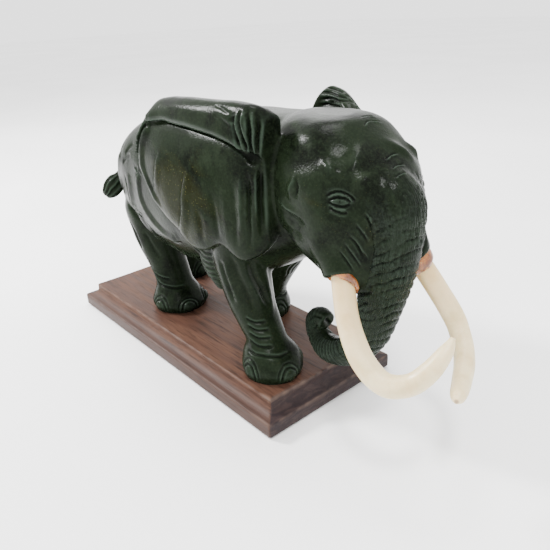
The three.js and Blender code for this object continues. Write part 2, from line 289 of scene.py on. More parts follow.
class Carver:
    """Works a mesh's surface as arrays: smooths it, presses hollows into it and cuts lines along it."""

    def __init__(self, obj: bpy.types.Object) -> None:
        """Reads the object's points and edges, in millimetres.

        Args:
            obj: the object to carve. Its mesh follows the points at each settle().
        """
        mesh = obj.data
        self.obj = obj
        self.points = np.empty(len(mesh.vertices) * 3)
        mesh.vertices.foreach_get("co", self.points)
        self.points = self.points.reshape(-1, 3) / MM
        edges = np.empty(len(mesh.edges) * 2, np.int64)
        mesh.edges.foreach_get("vertices", edges)
        self.edges = edges.reshape(-1, 2)
        self.degree = np.bincount(self.edges.ravel(), minlength=len(self.points)).astype(float)[:, None]
        self.matt = np.zeros(len(self.points))
        self.turn = np.zeros(len(self.points))
        self.normals = np.zeros_like(self.points)
        self.settle()

    def settle(self) -> None:
        """Writes the points back to the mesh and takes each point's outward normal again."""
        mesh = self.obj.data
        mesh.vertices.foreach_set("co", (self.points * MM).ravel())
        mesh.update()
        normals = np.empty(len(mesh.vertices) * 3)
        mesh.vertex_normals.foreach_get("vector", normals)
        self.normals = normals.reshape(-1, 3)

    def neighbour_mean(self, values: np.ndarray) -> np.ndarray:
        """Mean of each point's neighbours' values."""
        return edge_mean(values, self.edges.T, self.degree)

    def relax(self, rounds: int, weight: np.ndarray | float = 1.0) -> None:
        """Moves each point half-way to its neighbours' mean, over and over.

        Args:
            rounds: how many times it is done.
            weight: how much of each move is made, from 0 to 1, for all points or for each.
        """
        pull = 0.5 * (weight[:, None] if isinstance(weight, np.ndarray) else weight)
        for _ in range(rounds):
            self.points += pull * (self.neighbour_mean(self.points) - self.points)
        self.settle()

    def near(self, low: np.ndarray, high: np.ndarray) -> np.ndarray:
        """Indices of the points inside a box."""
        return np.flatnonzero(((self.points > low) & (self.points < high)).all(axis=1))

    def press(self, centre: tuple, radii: tuple, depth: float, turn: float = 0.0) -> None:
        """Presses a soft hollow, or with a negative depth raises a soft lump.

        The push is along the normals and falls off as a bell over an ellipsoid of the given radii,
        turned about Z.

        Args:
            centre: middle of the hollow, in millimetres.
            radii: the bell's reach along its own X, Y and Z.
            depth: how deep it goes at the middle.
            turn: its turn about Z, in degrees.
        """
        centre, radii = np.asarray(centre, float), np.asarray(radii, float)
        span = radii.max() * BELL_REACH
        who = self.near(centre - span, centre + span)
        cos, sin = math.cos(math.radians(turn)), math.sin(math.radians(turn))
        local = (self.points[who] - centre) @ np.array([[cos, -sin, 0], [sin, cos, 0], [0, 0, 1.0]])
        bell = np.exp(-((local / radii) ** 2).sum(axis=1))
        self.points[who] -= self.normals[who] * (depth * bell)[:, None]

    def lay(self, line: list, spacing: float = 0.6) -> np.ndarray:
        """Lays a line of rough points on the surface.

        The points are joined by a Catmull-Rom curve, each sample moves to the nearest surface point,
        and the result is averaged along its length, five samples at a time.

        Args:
            line: three or more x, y, z points, in millimetres.
            spacing: about how far apart the samples are.

        Returns:
            The samples on the surface.
        """
        margin, window = 8, 5
        rough = np.asarray(line, float)
        gap = np.linalg.norm(np.diff(rough, axis=0), axis=1).max()
        path = catmull(rough, max(2, int(gap / spacing)))
        who = self.near(path.min(axis=0) - margin, path.max(axis=0) + margin)
        if not len(who):
            LOG.warning("a carved line lies off the surface near %s", rough[0])
            return path
        places = self.points[who]
        nearest = ((path[:, None, :] - places[None]) ** 2).sum(axis=2).argmin(axis=1)
        laid = places[nearest]
        kernel = np.ones(window) / window
        padded = np.vstack([laid[:1]] * (window // 2) + [laid] + [laid[-1:]] * (window // 2))
        return np.stack([np.convolve(padded[:, k], kernel, "valid") for k in range(3)], axis=1)

    def line_distance(self, path: np.ndarray, reach: float) -> tuple[np.ndarray, ...]:
        """Measures how far the points near a path are from it.

        Args:
            path: places along the path, in millimetres.
            reach: how far from the path a point may be.

        Returns:
            The points' indices, their distance, how far along the path each is from 0 to 1, and the
            vector from the path to each.
        """
        who = self.near(path.min(axis=0) - reach, path.max(axis=0) + reach)
        best = np.full(len(who), np.inf)
        along = np.zeros(len(who))
        away = np.zeros((len(who), 3))
        places = self.points[who]
        count = max(len(path) - 1, 2)
        for i, (a, b) in enumerate(zip(path[:-1], path[1:])):
            ab = b - a
            t = np.clip(((places - a) @ ab) / (ab @ ab + 1e-9), 0, 1)
            off = places - a - t[:, None] * ab
            dist = np.linalg.norm(off, axis=1)
            nearer = dist < best
            best[nearer] = dist[nearer]
            along[nearer] = (i + t[nearer]) / count
            away[nearer] = off[nearer]
        keep = best < reach
        return who[keep], best[keep], along[keep], away[keep]

    def score(
        self, line: list, width: float, depth: float, mark: Mark = Mark.CUT, taper: float = 0.2
    ) -> None:
        """Cuts or raises a line with a bell-shaped section that fades out at both ends.

        Args:
            line: rough points of the line, in millimetres.
            width: the bell's half-width.
            depth: its depth or height at the middle.
            mark: whether it is cut or raised.
            taper: the part of the length over which each end fades.
        """
        path = self.lay(line)
        who, dist, along, _ = self.line_distance(path, BELL_REACH * width)
        fade = swell(along, 0, taper) * swell(1 - along, 0, taper)
        bell = np.exp(-((dist / width) ** 2)) * fade
        self.points[who] += self.normals[who] * (mark.value * depth * bell)[:, None]

    def terrace(
        self, line: list, uphill: tuple, height: float, reach: float, edge: float = 0.7, taper: float = 0.15
    ) -> None:
        """Raises the surface on one side of a line, so that it looks like one fold lying over another.

        The rise is sharp across the line and dies away over the reach behind it. A bell-shaped
        groove, a third as deep as the rise is high, runs along its foot.

        Args:
            line: rough points of the fold's edge, in millimetres.
            uphill: a direction that points to the raised side.
            height: how high the edge stands.
            reach: how far back the rise dies away.
            edge: half-width of the sharp part.
            taper: the part of the length over which each end fades.
        """
        path = self.lay(line)
        who, dist, along, away = self.line_distance(path, reach)
        side = away @ (np.asarray(uphill, float) / np.linalg.norm(uphill))
        signed = np.where(side > 0, dist, -dist)
        fade = swell(along, 0, taper) * swell(1 - along, 0, taper)
        rise = swell(signed, -edge, edge) * (1 - swell(dist, 0.3 * reach, reach))
        foot = 1.2 * edge
        groove = 0.35 * np.exp(-(((signed + foot) / foot) ** 2))
        self.points[who] += self.normals[who] * (height * fade * (rise - groove))[:, None]

    def soothe(self, centre: tuple, radius: float, rounds: int) -> None:
        """Relaxes the surface round one place, fading out with distance.

        Args:
            centre: the place, in millimetres.
            radius: the reach of the bell that weighs the relaxing.
            rounds: how many times it is done.
        """
        middle, span = np.asarray(centre, float), 2.5 * radius
        who = self.near(middle - span, middle + span)
        number = np.full(len(self.points), -1)
        number[who] = np.arange(len(who))
        edges = number[self.edges]
        edges = edges[(edges >= 0).all(axis=1)].T
        degree = np.maximum(np.bincount(edges.ravel(), minlength=len(who)), 1)[:, None]
        places = self.points[who]
        weight = 0.5 * np.exp(-(((places - middle) ** 2).sum(axis=1) / radius**2))
        for _ in range(rounds):
            places = places + weight[:, None] * (edge_mean(places, edges, degree) - places)
        self.points[who] = places
        self.settle()

    def tube(self, rows: np.ndarray, reach: float) -> tuple[np.ndarray, ...]:
        """Measures the points near a bar against its path.

        Args:
            rows: the bar's dense rows of x, y, z, radius.
            reach: how far from the path a point may be.

        Returns:
            The points' indices, distance from the path, place along it from 0 to 1, angle round it
            from the side that faces ahead and up, and the bar's radius there.
        """
        path = rows[:, :3]
        who, dist, along, away = self.line_distance(path, reach)
        _, side, other = path_axes(path)
        at = np.clip(np.rint(along * (len(path) - 1)).astype(int), 0, len(path) - 1)
        angle = np.arctan2((away * side[at]).sum(axis=1), (away * other[at]).sum(axis=1))
        return who, dist, along, angle, np.interp(along, np.linspace(0, 1, len(rows)), rows[:, 3])


# ------------------------------------------------------------------ the stone animal
@dataclass
class StoneElephant:
    """The carved animal: body, head, legs, trunk, tail and ears as one block of stone.

    Rows, in millimetres: the torso's hold x, middle height, half width, reach above and below; the
    head's z, middle ahead of its axis, reach ahead and behind, half width; the legs' and elbow's x,
    y, z, half length, half width; the trunk's, tail's and lips' x, y, z, radius; the ears' x, top,
    crease, hem, reach of the roll and of the sheet. What lies below sole_cut is flattened to sole.
    """

    voxel: float = 0.62
    triangles: int = 196000
    sole: float = 20.3
    sole_cut: float = 20.9
    torso: tuple = (
        (-84, 124, 6, 8, 8),
        (-81, 123, 17, 17, 22),
        (-74, 122, 27, 26, 35),
        (-60, 122, 35, 36, 46),
        (-38, 122, 39, 45, 50),
        (0, 122, 43, 51, 52),
        (40, 125, 43, 52, 54),
        (75, 130, 40, 49, 50),
        (105, 135, 34, 44, 38),
        (124, 139, 26, 34, 26),
    )
    head: tuple = (
        (182, -2, 13, 15, 9),
        (180.5, -2, 21, 24, 18),
        (176, -2, 28, 31, 25),
        (168, -1, 38.5, 37, 31),
        (158, 1, 47.5, 38, 35),
        (146, 2, 51.5, 36, 36),
        (132, 5, 49, 30, 35),
        (119, 14, 39, 20, 32),
        (108, 22, 29, 12, 25),
        (101, 26, 18, 8, 17),
        (98, 27, 10, 5, 10),
    )
    front_right: tuple = (
        (90.5, -22.5, 20.3, 18.5, 18),
        (90.5, -22.5, 26, 20, 19),
        (89, -22.5, 34, 17.5, 17),
        (86, -22.5, 41, 13.5, 13),
        (81, -23, 50, 13.8, 13.5),
        (75, -24, 64, 15, 14.5),
        (71, -25, 80, 17, 16),
        (70.5, -26, 97, 18.5, 17),
        (74, -25, 115, 21, 17),
        (78, -20, 132, 16, 13),
    )
    front_left: tuple = (
        (26, 26, 20.3, 18, 17.5),
        (26, 26, 26, 19.5, 19),
        (28, 26, 34, 16.5, 16),
        (31, 26, 41, 13.5, 13),
        (38, 26, 54, 14, 13.5),
        (48, 26, 70, 16, 15),
        (57, 26, 86, 19, 17),
        (64, 24, 104, 21, 17),
        (68, 18, 124, 15, 13),
    )
    hind_right: tuple = (
        (-32, -14, 20.3, 19, 19),
        (-32, -14, 26, 20.8, 20.5),
        (-34, -14, 33, 17.5, 17),
        (-37, -14, 40, 14.3, 14),
        (-42, -14.5, 52, 14.5, 14.5),
        (-46, -16, 66, 15.5, 16.5),
        (-49, -17.5, 82, 17, 18),
        (-51, -17, 100, 20, 20),
        (-52, -13, 122, 18, 17),
    )
    hind_left: tuple = (
        (-78, 26, 20.3, 18, 18),
        (-78, 26, 26, 19.5, 19.5),
        (-78, 26, 34, 16.5, 16.5),
        (-78, 25.5, 42, 14, 14),
        (-78, 24.5, 56, 14.5, 14.5),
        (-75, 23, 72, 18, 17),
        (-70, 20, 90, 21, 19),
        (-64, 16, 112, 22, 18),
        (-60, 12, 128, 15, 13),
    )
    elbow: tuple = (
        (54, -29, 112, 17, 8),
        (50, -31, 96, 15, 7),
        (47, -31.5, 85, 11.5, 5.5),
        (48, -31, 76, 8, 4.5),
        (53, -29.5, 68, 4, 3.5),
    )
    trunk: tuple = (
        (152, -8, 160, 8),
        (169, -8, 147, 14.5),
        (172, -8, 132, 13.8),
        (171.5, -8.5, 117, 13),
        (169, -9, 103, 12.5),
        (165, -10, 88, 12),
        (160, -10.5, 72, 11),
        (151, -10.5, 58, 9.5),
        (138, -9.5, 48.5, 8.6),
        (125, -7.5, 45.5, 8),
        (115.5, -5.5, 49.5, 7.2),
        (114, -5.5, 57.5, 7),
        (118.5, -6, 62, 6.7),
        (123.8, -6.5, 61, 5.8),
    )
    tail: tuple = (
        (-66, 0, 147, 6),
        (-77, -1, 146, 5.6),
        (-85.5, -5, 136, 4.8),
        (-90, -12, 123, 4.5),
        (-89, -20, 115, 5),
        (-89.5, -25.5, 110.5, 7.2),
        (-90.5, -29.5, 106, 7),
        (-91.5, -33, 102.5, 4.8),
        (-92, -34.5, 101, 2),
    )
    right_ear: tuple = (
        (0, 155, 152, 143, 45, 48),
        (3, 163, 159, 136, 44, 48.5),
        (9, 174, 168, 126, 41, 49),
        (18, 184, 172, 116, 39, 49.5),
        (30, 187, 174, 111, 38, 50),
        (38, 187.5, 174, 108, 38, 50),
        (48, 188, 174, 101, 38, 50),
        (62, 188.5, 173.5, 102, 38, 50),
        (80, 189, 172, 110, 38, 49.5),
        (96, 189.5, 169, 105, 38, 48.5),
        (106, 188.5, 165, 109, 37, 46),
        (112, 184, 162, 117, 33, 39),
    )
    left_ear: tuple = (
        (22, 150, 147, 134, 50, 54),
        (28, 158, 154, 122, 49, 55),
        (40, 164, 158, 111, 48, 56),
        (54, 168, 161, 105, 47, 56),
        (62, 172, 164, 103, 48, 55.5),
        (68, 181.5, 167, 105, 49, 55),
        (74, 186, 169, 107, 49, 54.5),
        (80, 185.5, 170, 109, 49, 53),
        (88, 183.5, 170, 110, 47, 52),
        (98, 178, 167, 108, 43, 48),
        (106, 172, 163, 110, 38, 44),
        (113, 165, 158, 116, 34, 40),
    )
    right_lip: tuple = (
        (141, -20, 135, 17),
        (147, -23, 124, 15),
        (152.5, -25.5, 116, 12),
        (156.3, -28.6, 109, 9.4),
    )
    left_lip: tuple = (
        (152, 2, 138, 16),
        (160, 5, 128, 14),
        (166, 9, 119, 11),
        (169.3, 12.2, 112, 9),
    )

    def torso_rings(self) -> np.ndarray:
        """Squared ovals across X, reaching further above their middle than below it, or less.

        Returns:
            Points of shape (n, 96, 3).
        """
        x, z, half, above, below = catmull(self.torso, 8).T
        centre = np.stack([x, 0 * x, z], axis=1)
        reach = np.stack([half, half, above, below], axis=1)
        return oval_rings(centre, np.array([0, 1.0, 0]), np.array([0, 0, 1.0]), reach, 96, 2.4)

    def head_rings(self) -> np.ndarray:
        """Squared level ovals, longer ahead than behind, turned by the head's yaw.

        Returns:
            Points of shape (n, 96, 3).
        """
        z, middle, front, back, half = catmull(self.head, 8).T
        forward, across = head_axes()
        centre = np.stack([HEAD_AXIS[0] + middle * forward[0], middle * forward[1], z], axis=1)
        reach = np.stack([front, back, half, half], axis=1)
        return oval_rings(centre, forward, across, reach, 96, 2.25)

    @staticmethod
    def leg_rings(rows: tuple) -> np.ndarray:
        """Level ovals through rows.

        Args:
            rows: x, y, z, half length and half width at each place.

        Returns:
            Points of shape (n, 64, 3).
        """
        x, y, z, length, width = catmull(rows, 8).T
        reach = np.stack([length, length, width, width], axis=1)
        centre = np.stack([x, y, z], axis=1)
        return oval_rings(centre, np.array([1.0, 0, 0]), np.array([0, 1.0, 0]), reach, 64, 2.1)

    @staticmethod
    def ear_rings(rows: tuple, side: Side) -> np.ndarray:
        """Upright outlines along X: a rounded roll along the top edge and a sheet hanging from it.

        Args:
            rows: x, top, crease, hem, reach of the roll and reach of the sheet.
            side: the side of the body.

        Returns:
            Points of shape (n, sides, 3).
        """
        x, top, crease, hem, roll, sheet = (column[:, None] for column in catmull(rows, 5).T)
        drop, lift = crease - hem, top - crease
        out = [roll - 7, roll - 4, roll, roll + 4, roll + 7, roll + 7.5, roll + 5.5]
        out += [(roll + 2 * sheet) / 3 + 1.5, sheet, sheet, sheet - 1.5, sheet - 5, sheet - 9]
        out += [sheet - 11, sheet - 14, roll - 7]
        up = [top - 4, top - 1, top, top - 2, top - 0.45 * lift, crease + 2, crease, crease - 0.12 * drop]
        up += [crease - 0.4 * drop, crease - 0.7 * drop, hem + 3, hem, hem + 2, hem + 0.3 * drop]
        up += [hem + 0.65 * drop, crease]
        out, up = np.hstack(out), np.hstack(up)
        rings = np.stack([np.broadcast_to(x, out.shape), side.value * out, up], axis=2)
        return np.stack([catmull(ring, 4, closed=True) for ring in rings])

    def block(self) -> bpy.types.Object:
        """Joins all the skins into one closed surface of even quads.

        Returns:
            The uncarved block.
        """
        skin = Skin().add_rings(self.torso_rings()).add_rings(self.head_rings())
        for rows in (self.front_right, self.front_left, self.hind_right, self.hind_left, self.elbow):
            skin.add_rings(self.leg_rings(rows))
        for rows in (self.trunk, self.tail, self.right_lip, self.left_lip):
            skin.add_rings(bar_rings(np.array(rows), 40, 8))
        skin.add_rings(self.ear_rings(self.right_ear, Side.RIGHT))
        skin.add_rings(self.ear_rings(self.left_ear, Side.LEFT))
        obj = skin.to_object("stone_elephant")
        return with_modifier(obj, "REMESH", mode="VOXEL", voxel_size=self.voxel * MM)

    def soften(self, carver: Carver) -> None:
        """Rounds off the joins between limbs and body.

        Only what lies near a hollow corner is relaxed, and only off the ears, which stand clear of
        the flanks, behind the face and above the elbows.

        Args:
            carver: the block's carver.
        """
        carver.relax(4)
        inward = ((carver.neighbour_mean(carver.points) - carver.points) * carver.normals).sum(axis=1)
        for _ in range(2):
            weight = swell(inward, 0.004, 0.03)[:, None]
            for _ in range(10):
                weight = np.maximum(weight, carver.neighbour_mean(weight))
        x, y, z = carver.points.T
        off_ears = swell(39 - np.abs(y), 0, 4) + swell(x, 122, 128) + swell(84 - z, 0, 6)
        carver.relax(45, np.clip(weight[:, 0] * off_ears, 0, 1))

    def build(self) -> bpy.types.Object:
        """Makes the carved stone.

        Returns:
            The finished object, in place. Its "hollow" attribute rises in grooves, where the stone gets
            painted shade, and its crest attribute on crests, where it gets a painted highlight; "matt" is the
            trunk's stipple and "turn" the angle round the trunk.
        """
        obj = self.block()
        carver = Carver(obj)
        LOG.info("block of %d points", len(carver.points))
        self.soften(carver)
        Carvings(carver, self).work()
        carver.points[carver.points[:, 2] < self.sole_cut, 2] = self.sole
        carver.settle()
        smooth = carver.points.copy()
        for _ in range(6):
            smooth = 0.5 * (smooth + carver.neighbour_mean(smooth))
        cavity = ((smooth - carver.points) * carver.normals).sum(axis=1)
        faint, full = 0.02, 0.35
        # Grooves get painted shade and crests a painted highlight in the stone's colour; the groove measure
        # also roughens the surface.
        set_attribute(obj, "hollow", swell(cavity, faint, full))
        # The crest attribute serves only the painted highlight on the stone's crests
        set_attribute(obj, "crest_highlight", swell(-cavity, faint, full))
        set_attribute(obj, "matt", carver.matt)
        set_attribute(obj, "turn", carver.turn)
        obj.data.calc_loop_triangles()
        ratio = self.triangles / len(obj.data.loop_triangles)
        return with_modifier(obj, "DECIMATE", decimate_type="COLLAPSE", ratio=ratio)


def head_axes() -> tuple[np.ndarray, np.ndarray]:
    """The head's forward and leftward axes."""
    cos, sin = math.cos(HEAD_YAW), math.sin(HEAD_YAW)
    return np.array([cos, -sin, 0.0]), np.array([sin, cos, 0.0])


def over_head(line: list) -> list:
    """Mirrors a line across the head's upright middle plane.

    Args:
        line: x, y, z points, in millimetres.

    Returns:
        The mirrored points.
    """
    across = head_axes()[1]
    places = np.asarray(line, float)
    return (places - 2 * ((places - HEAD_AXIS) @ across)[:, None] * across).tolist()


@dataclass
class Carvings:
    """Everything cut into the block, in millimetres in the model's frame.

    ring_pitch gives the pitch of the trunk's rings at each ring_share of its length.
    """

    carver: Carver
    animal: StoneElephant
    ring_share: tuple = (0, 0.3, 0.6, 1)
    ring_pitch: tuple = (5.4, 5.0, 3.8, 2.8)
    ring_depth: float = 0.72
    ring_round: float = 0.14
    crease_width: float = 0.6
    flutes_round: int = 25
    flute_height: float = 0.16
    prick_depth: float = 0.4
    nail_foot: float = 20.8

    def both(self, line: list) -> list:
        """A line of the head and its mirror image."""
        return [line, over_head(line)]

    def lines(
        self, lines: list, width: float, depth: float, mark: Mark = Mark.CUT, taper: float = 0.25
    ) -> None:
        """Cuts several lines alike."""
        for line in lines:
            self.carver.score(line, width, depth, mark, taper)

    def dents(self, dents: list) -> None:
        """Presses hollows and lumps into both sides of the head.

        Args:
            dents: for each, its middle on the right side, its radii and its depth.
        """
        for middle, radii, depth in dents:
            for place in (middle, over_head([middle])[0]):
                self.carver.press(place, radii, depth, -HEAD_TURN)
        self.carver.settle()

    def face(self) -> None:
        """Temples, cheeks, eyes with their lids, and the wrinkles of the brow."""
        carve = self.carver
        carve.soothe((168, -10, 160), 17, 70)
        carve.soothe((150, -22, 126), 9, 12)
        carve.soothe((164, -20, 108), 8, 25)
        self.dents(
            [
                ((134, -32, 163), (10, 9, 6), 1.4),
                ((134, -24, 175), (10, 10, 7), -1.3),
                ((131, -36, 131), (7, 8, 9), 1.6),
                ((151, -33, 134), (13, 9, 11), -1.3),
                ((157, -34, 149), (10, 9, 6), 1.1),
                ((152, -25, 168), (5, 5, 5), 1.0),
            ]
        )
        raised = [
            ([(130, -37, 159), (131, -38, 154), (129, -37, 149), (127, -37, 144)], 2.0, 1.5),
            ([(113, -34, 146), (121, -36, 142), (130, -38, 139), (141, -38, 138)], 2.2, 1.7),
            ([(115, -34, 138), (123, -35, 132), (135, -37, 129), (144, -38, 128)], 2.6, 1.0),
            ([(144, -29, 168), (150, -32, 164), (155, -31, 160)], 2.6, 1.8),
            ([(153, -10, 173.5), (157, -18, 169), (159, -24, 166), (160, -28, 161)], 2.8, 1.6),
        ]
        for line, width, height in raised:
            self.lines(self.both(line), width, height, Mark.RAISED, 0.5)
        self.lines(self.both([(133, -36, 158), (134, -36, 152), (133, -37, 145)]), 1.1, 1.4, taper=0.5)
        jaw = [(117, -34, 142), (125, -36, 138), (134, -38, 135), (143, -38, 134)]
        self.lines(self.both(jaw), 1.2, 1.1, taper=0.5)
        carve.settle()
        self.dents([((158, -33.2, 149.1), (4.2, 4.4, 1.9), -0.9)])
        back, front = (152, -35, 149.2), (163.5, -30.5, 149)
        upper_lid = [back, (155, -34, 150.8), (158, -33, 151.4), (161, -31.5, 151), front]
        lower_lid = [back, (155, -34.5, 147.5), (158, -33.5, 146.9), (161, -32.5, 147.2), front]
        upper_fold = [(151.5, -35, 150.8), (154, -34, 152.8), (157, -33, 153.8)]
        upper_fold += [(160, -31.5, 153.4), (163, -30, 151.6), (165, -29.5, 149.4)]
        lower_fold = [(153.5, -35, 146.6), (156, -34.5, 144.9), (159.5, -33.5, 144.2), (163, -32, 144.6)]
        upper_rim = [(152, -35, 150.2), (155, -33.5, 152.2), (158, -32.8, 152.8)]
        upper_rim += [(161, -31.3, 152.3), (164, -30, 150.3)]
        lower_rim = [(153, -35, 147.8), (156, -34.3, 146.2), (159, -33.4, 145.7), (162, -32, 146.2)]
        eye = [
            (upper_lid, 0.6, 1.3, Mark.CUT),
            (lower_lid, 0.6, 1.2, Mark.CUT),
            (upper_fold, 0.65, 1.3, Mark.CUT),
            (lower_fold, 0.65, 1.2, Mark.CUT),
            (upper_rim, 0.6, 0.4, Mark.RAISED),
            (lower_rim, 0.6, 0.35, Mark.RAISED),
        ]
        for line, width, depth, mark in eye:
            self.lines(self.both(line), width, depth, mark, taper=0.15)
        self.dents([((158.4, -33, 149.3), (0.9, 0.9, 0.9), 0.6)])
        cheek = [
            [(165, -31, 140), (168, -28, 135), (171, -26, 128)],
            [(162, -33, 136), (167, -30, 128), (169, -26, 119)],
            [(160, -34, 131), (165, -31, 123), (168, -26, 114)],
            [(158, -35, 127), (162, -32, 120), (165, -28, 112)],
            [(165, -31, 133), (168, -28, 126), (170, -25, 119)],
            [(168, -28, 145), (170, -26, 141), (171, -25, 136)],
        ]
        for line in cheek:
            self.lines(self.both(line), 0.55, 0.8, taper=0.4)
            self.lines(self.both([(x + 0.6, y, z + 1.3) for x, y, z in line]), 0.6, 0.3, Mark.RAISED, 0.4)
        brow = [
            [(165, -10, 165), (164, -6, 166), (164, -3, 167), (165, 2, 167)],
            [(170, -11, 162), (169, -6, 163), (169, 0, 162)],
            [(174, -13, 159), (174, -10, 160), (174, -5, 160)],
            [(148, -5, 178), (146, -1, 179), (146, 3, 179), (148, 10, 179)],
            [(142, -1, 181), (142, 4, 181), (143, 9, 180)],
        ]
        self.lines(brow, 0.5, 0.7, taper=0.3)
        self.lines([[(x + 0.6, y, z - 0.9) for x, y, z in line] for line in brow], 0.5, 0.6, Mark.RAISED, 0.3)
        for k in range(4):
            x, z = 108 + 3 * k, 176 - 3 * k
            line = [(x, -30 - 1.5 * k, z + 2), (x + 4, -31 - k, z), (x + 7, -30 - k, z)]
            self.lines(self.both(line), 0.7, 0.5, taper=0.4)
        carve.settle()

    def trunk(self) -> None:
        """Rings, flutes and stipple of the trunk.

        Round the trunk's path the surface sinks by bell-shaped creases one pitch apart, stands a
        little between them, and rises and falls as a cosine of the angle round the path. The rings
        droop towards the front, all of it wavers by smooth noise, and small pricks sink where a
        finer noise is high.
        """
        carve = self.carver
        carve.press((162, -22, 104), (7, 6, 9), -3.8)
        carve.settle()
        path = catmull(np.array(self.animal.trunk), 6)
        who, dist, along, angle, radius = carve.tube(path, 20.0)
        root_reach = np.interp(along, [0, 0.1, 0.2, 0.3], [19.5, 18.5, 15.8, 15.8])
        near = dist < np.where(along < 0.3, root_reach, radius + 3)
        who, along, angle = who[near], along[near], angle[near]
        where, normals = carve.points[who], carve.normals[who]
        length = np.linalg.norm(np.diff(path[:, :3], axis=0), axis=1).sum()
        samples = 200
        share = np.linspace(0, 1, samples)
        turns = np.cumsum(length / samples / np.interp(share, self.ring_share, self.ring_pitch))
        droop = np.interp(along, [0, 0.45, 0.75], [8.5, 7, 0]) * (1 - np.cos(angle))
        wobble = 0.7 * ripple_noise(where, 24, 5) + 0.3 * ripple_noise(where, 7, 8) - droop
        pitch = np.interp(along, self.ring_share, self.ring_pitch)
        phase = np.interp(along, share, turns) + wobble / pitch
        off = (phase % 1.0) - 0.5
        crease = np.exp(-((off * pitch / self.crease_width) ** 2))
        roll = np.cos(2 * np.pi * (off + 0.5))
        sharp = np.clip(0.75 + 0.4 * ripple_noise(where, 13, 21), 0.3, 1.3)
        fade = np.interp(along, [0.06, 0.11, 0.2, 0.9, 0.97], [0, 0.5, 1, 0.75, 0])
        sunk = fade * sharp * (self.ring_depth * crease - self.ring_round * roll)
        flutes = np.cos(self.flutes_round * angle + 1.4 * ripple_noise(where, 12, 23))
        flutes *= np.clip(0.6 + 0.6 * ripple_noise(where, 9, 24), 0, 1.3)
        stippled = np.clip(0.9 + 0.5 * ripple_noise(where, 15, 26), 0, 1) * (np.abs(angle) < 2.7)
        carve.matt[who] = fade * stippled
        carve.turn[who] = angle
        fluted = self.flute_height * np.interp(along, [0.04, 0.1, 0.6, 0.8], [0, 1, 0.8, 0])
        pricked = self.prick_depth * np.interp(along, [0.05, 0.09, 0.25, 0.5], [0, 1, 0.7, 0])
        pricks = np.clip(ripple_noise(where, 2.6, 25, 24) - 0.3, 0, 1.2)
        carve.points[who] += normals * (fluted * flutes - sunk - pricked * pricks)[:, None]
        carve.settle()
        self.trunk_tip()

    def trunk_tip(self) -> None:
        """Knuckles of the trunk's bend, and the nostrils and folds at its curled tip."""
        knuckles = [
            [(170, -20, 103), (165, -22, 100), (160, -20, 95)],
            [(168, -20, 96), (162, -22, 92), (157, -19, 88)],
        ]
        self.lines(knuckles, 0.8, 1.2)
        self.lines([[(128, -9, 64), (128.5, -6.5, 61), (127, -4, 58)]], 0.9, 1.4)
        for y in (-8.4, -4.8):
            self.carver.press((128.8, y, 61.5), (1.5, 1.4, 1.7), 2.4)
        curls = [
            [(114, -12, 60), (119, -12.5, 66), (126, -11, 66)],
            [(117, -12, 55), (122, -12, 57), (127, -10, 58)],
        ]
        self.lines(curls, 0.9, 0.9)
        self.carver.settle()

    @staticmethod
    def partner(x: float, y: float, z: float) -> tuple:
        """A place's partner on the left, where the ear sits further ahead, wider and lower."""
        by_ear = x > 0
        return (x + 8 * (by_ear and z > 95), -y + 6 * by_ear, z - 4 * by_ear)

    def ears(self) -> None:
        """The line under each ear's roll, the lobes of the sheet and the pleats at its root."""
        carve = self.carver
        roll = [(12, -47, 171), (20, -46, 173), (32, -45, 174.5), (50, -44, 174)]
        roll += [(68, -44, 173), (86, -44, 171), (99, -44, 167), (108, -43, 163)]
        left_roll = [(30, 53, 156), (42, 52, 159), (56, 52, 162), (66, 52, 166)]
        left_roll += [(78, 51, 170), (90, 50, 170), (100, 46, 167), (110, 41, 161)]
        carve.press((58, -50, 142), (36, 14, 24), -3.2)
        carve.press((104, -43, 181), (6, 6, 7), -1.8)
        carve.press((64, 55, 138), (32, 14, 22), -2.4)
        carve.press((55, -45, 182), (44, 9, 7), -1.2)
        carve.settle()
        for line in (roll, left_roll):
            carve.terrace(line, (0, 0, 1), 1.3, 8, 0.6)
            carve.score(line, 0.9, 1.1, taper=0.06)
        carve.settle()
        rim = [(15, -47, 173), (10, -47, 168), (5, -49, 160), (2, -49, 150)]
        rim += [(2, -48, 141), (6, -48, 133), (12, -48, 125), (20, -48, 117)]
        flank = [(-20, -40, 138), (-24, -40, 126), (-22, -40, 112), (-14, -40, 102)]
        flank += [(-2, -39, 94), (10, -38, 91), (24, -40, 95)]
        waves = [
            [(30, -50, 160), (25, -50, 150), (20, -50, 139), (12, -49, 127)],
            [(64, -50, 160), (57, -50, 144), (50, -50, 127), (42, -49, 113), (37, -47, 104)],
        ]
        groin = [(-33, -36, 106), (-35, -33, 92), (-29, -26, 77), (-12, -24, 70), (14, -27, 76)]
        steps = [
            (rim, (1, 0, 0.3), 1.6, 7, 0.15),
            (waves[0], (1, 0, 0), 0.8, 8, 0.5),
            (waves[1], (1, 0, 0), 0.9, 9, 0.5),
            (flank, (0.5, 0, 1), 1.5, 9, 0.15),
            (groin, (0.4, -0.4, 1), 1.2, 9, 0.15),
        ]
        for line, uphill, height, reach, taper in steps:
            carve.terrace(line, uphill, height, reach, taper=taper)
            partner = [self.partner(*place) for place in line]
            carve.terrace(partner, (uphill[0], -uphill[1], uphill[2]), height, reach, taper=taper)
        carve.settle()
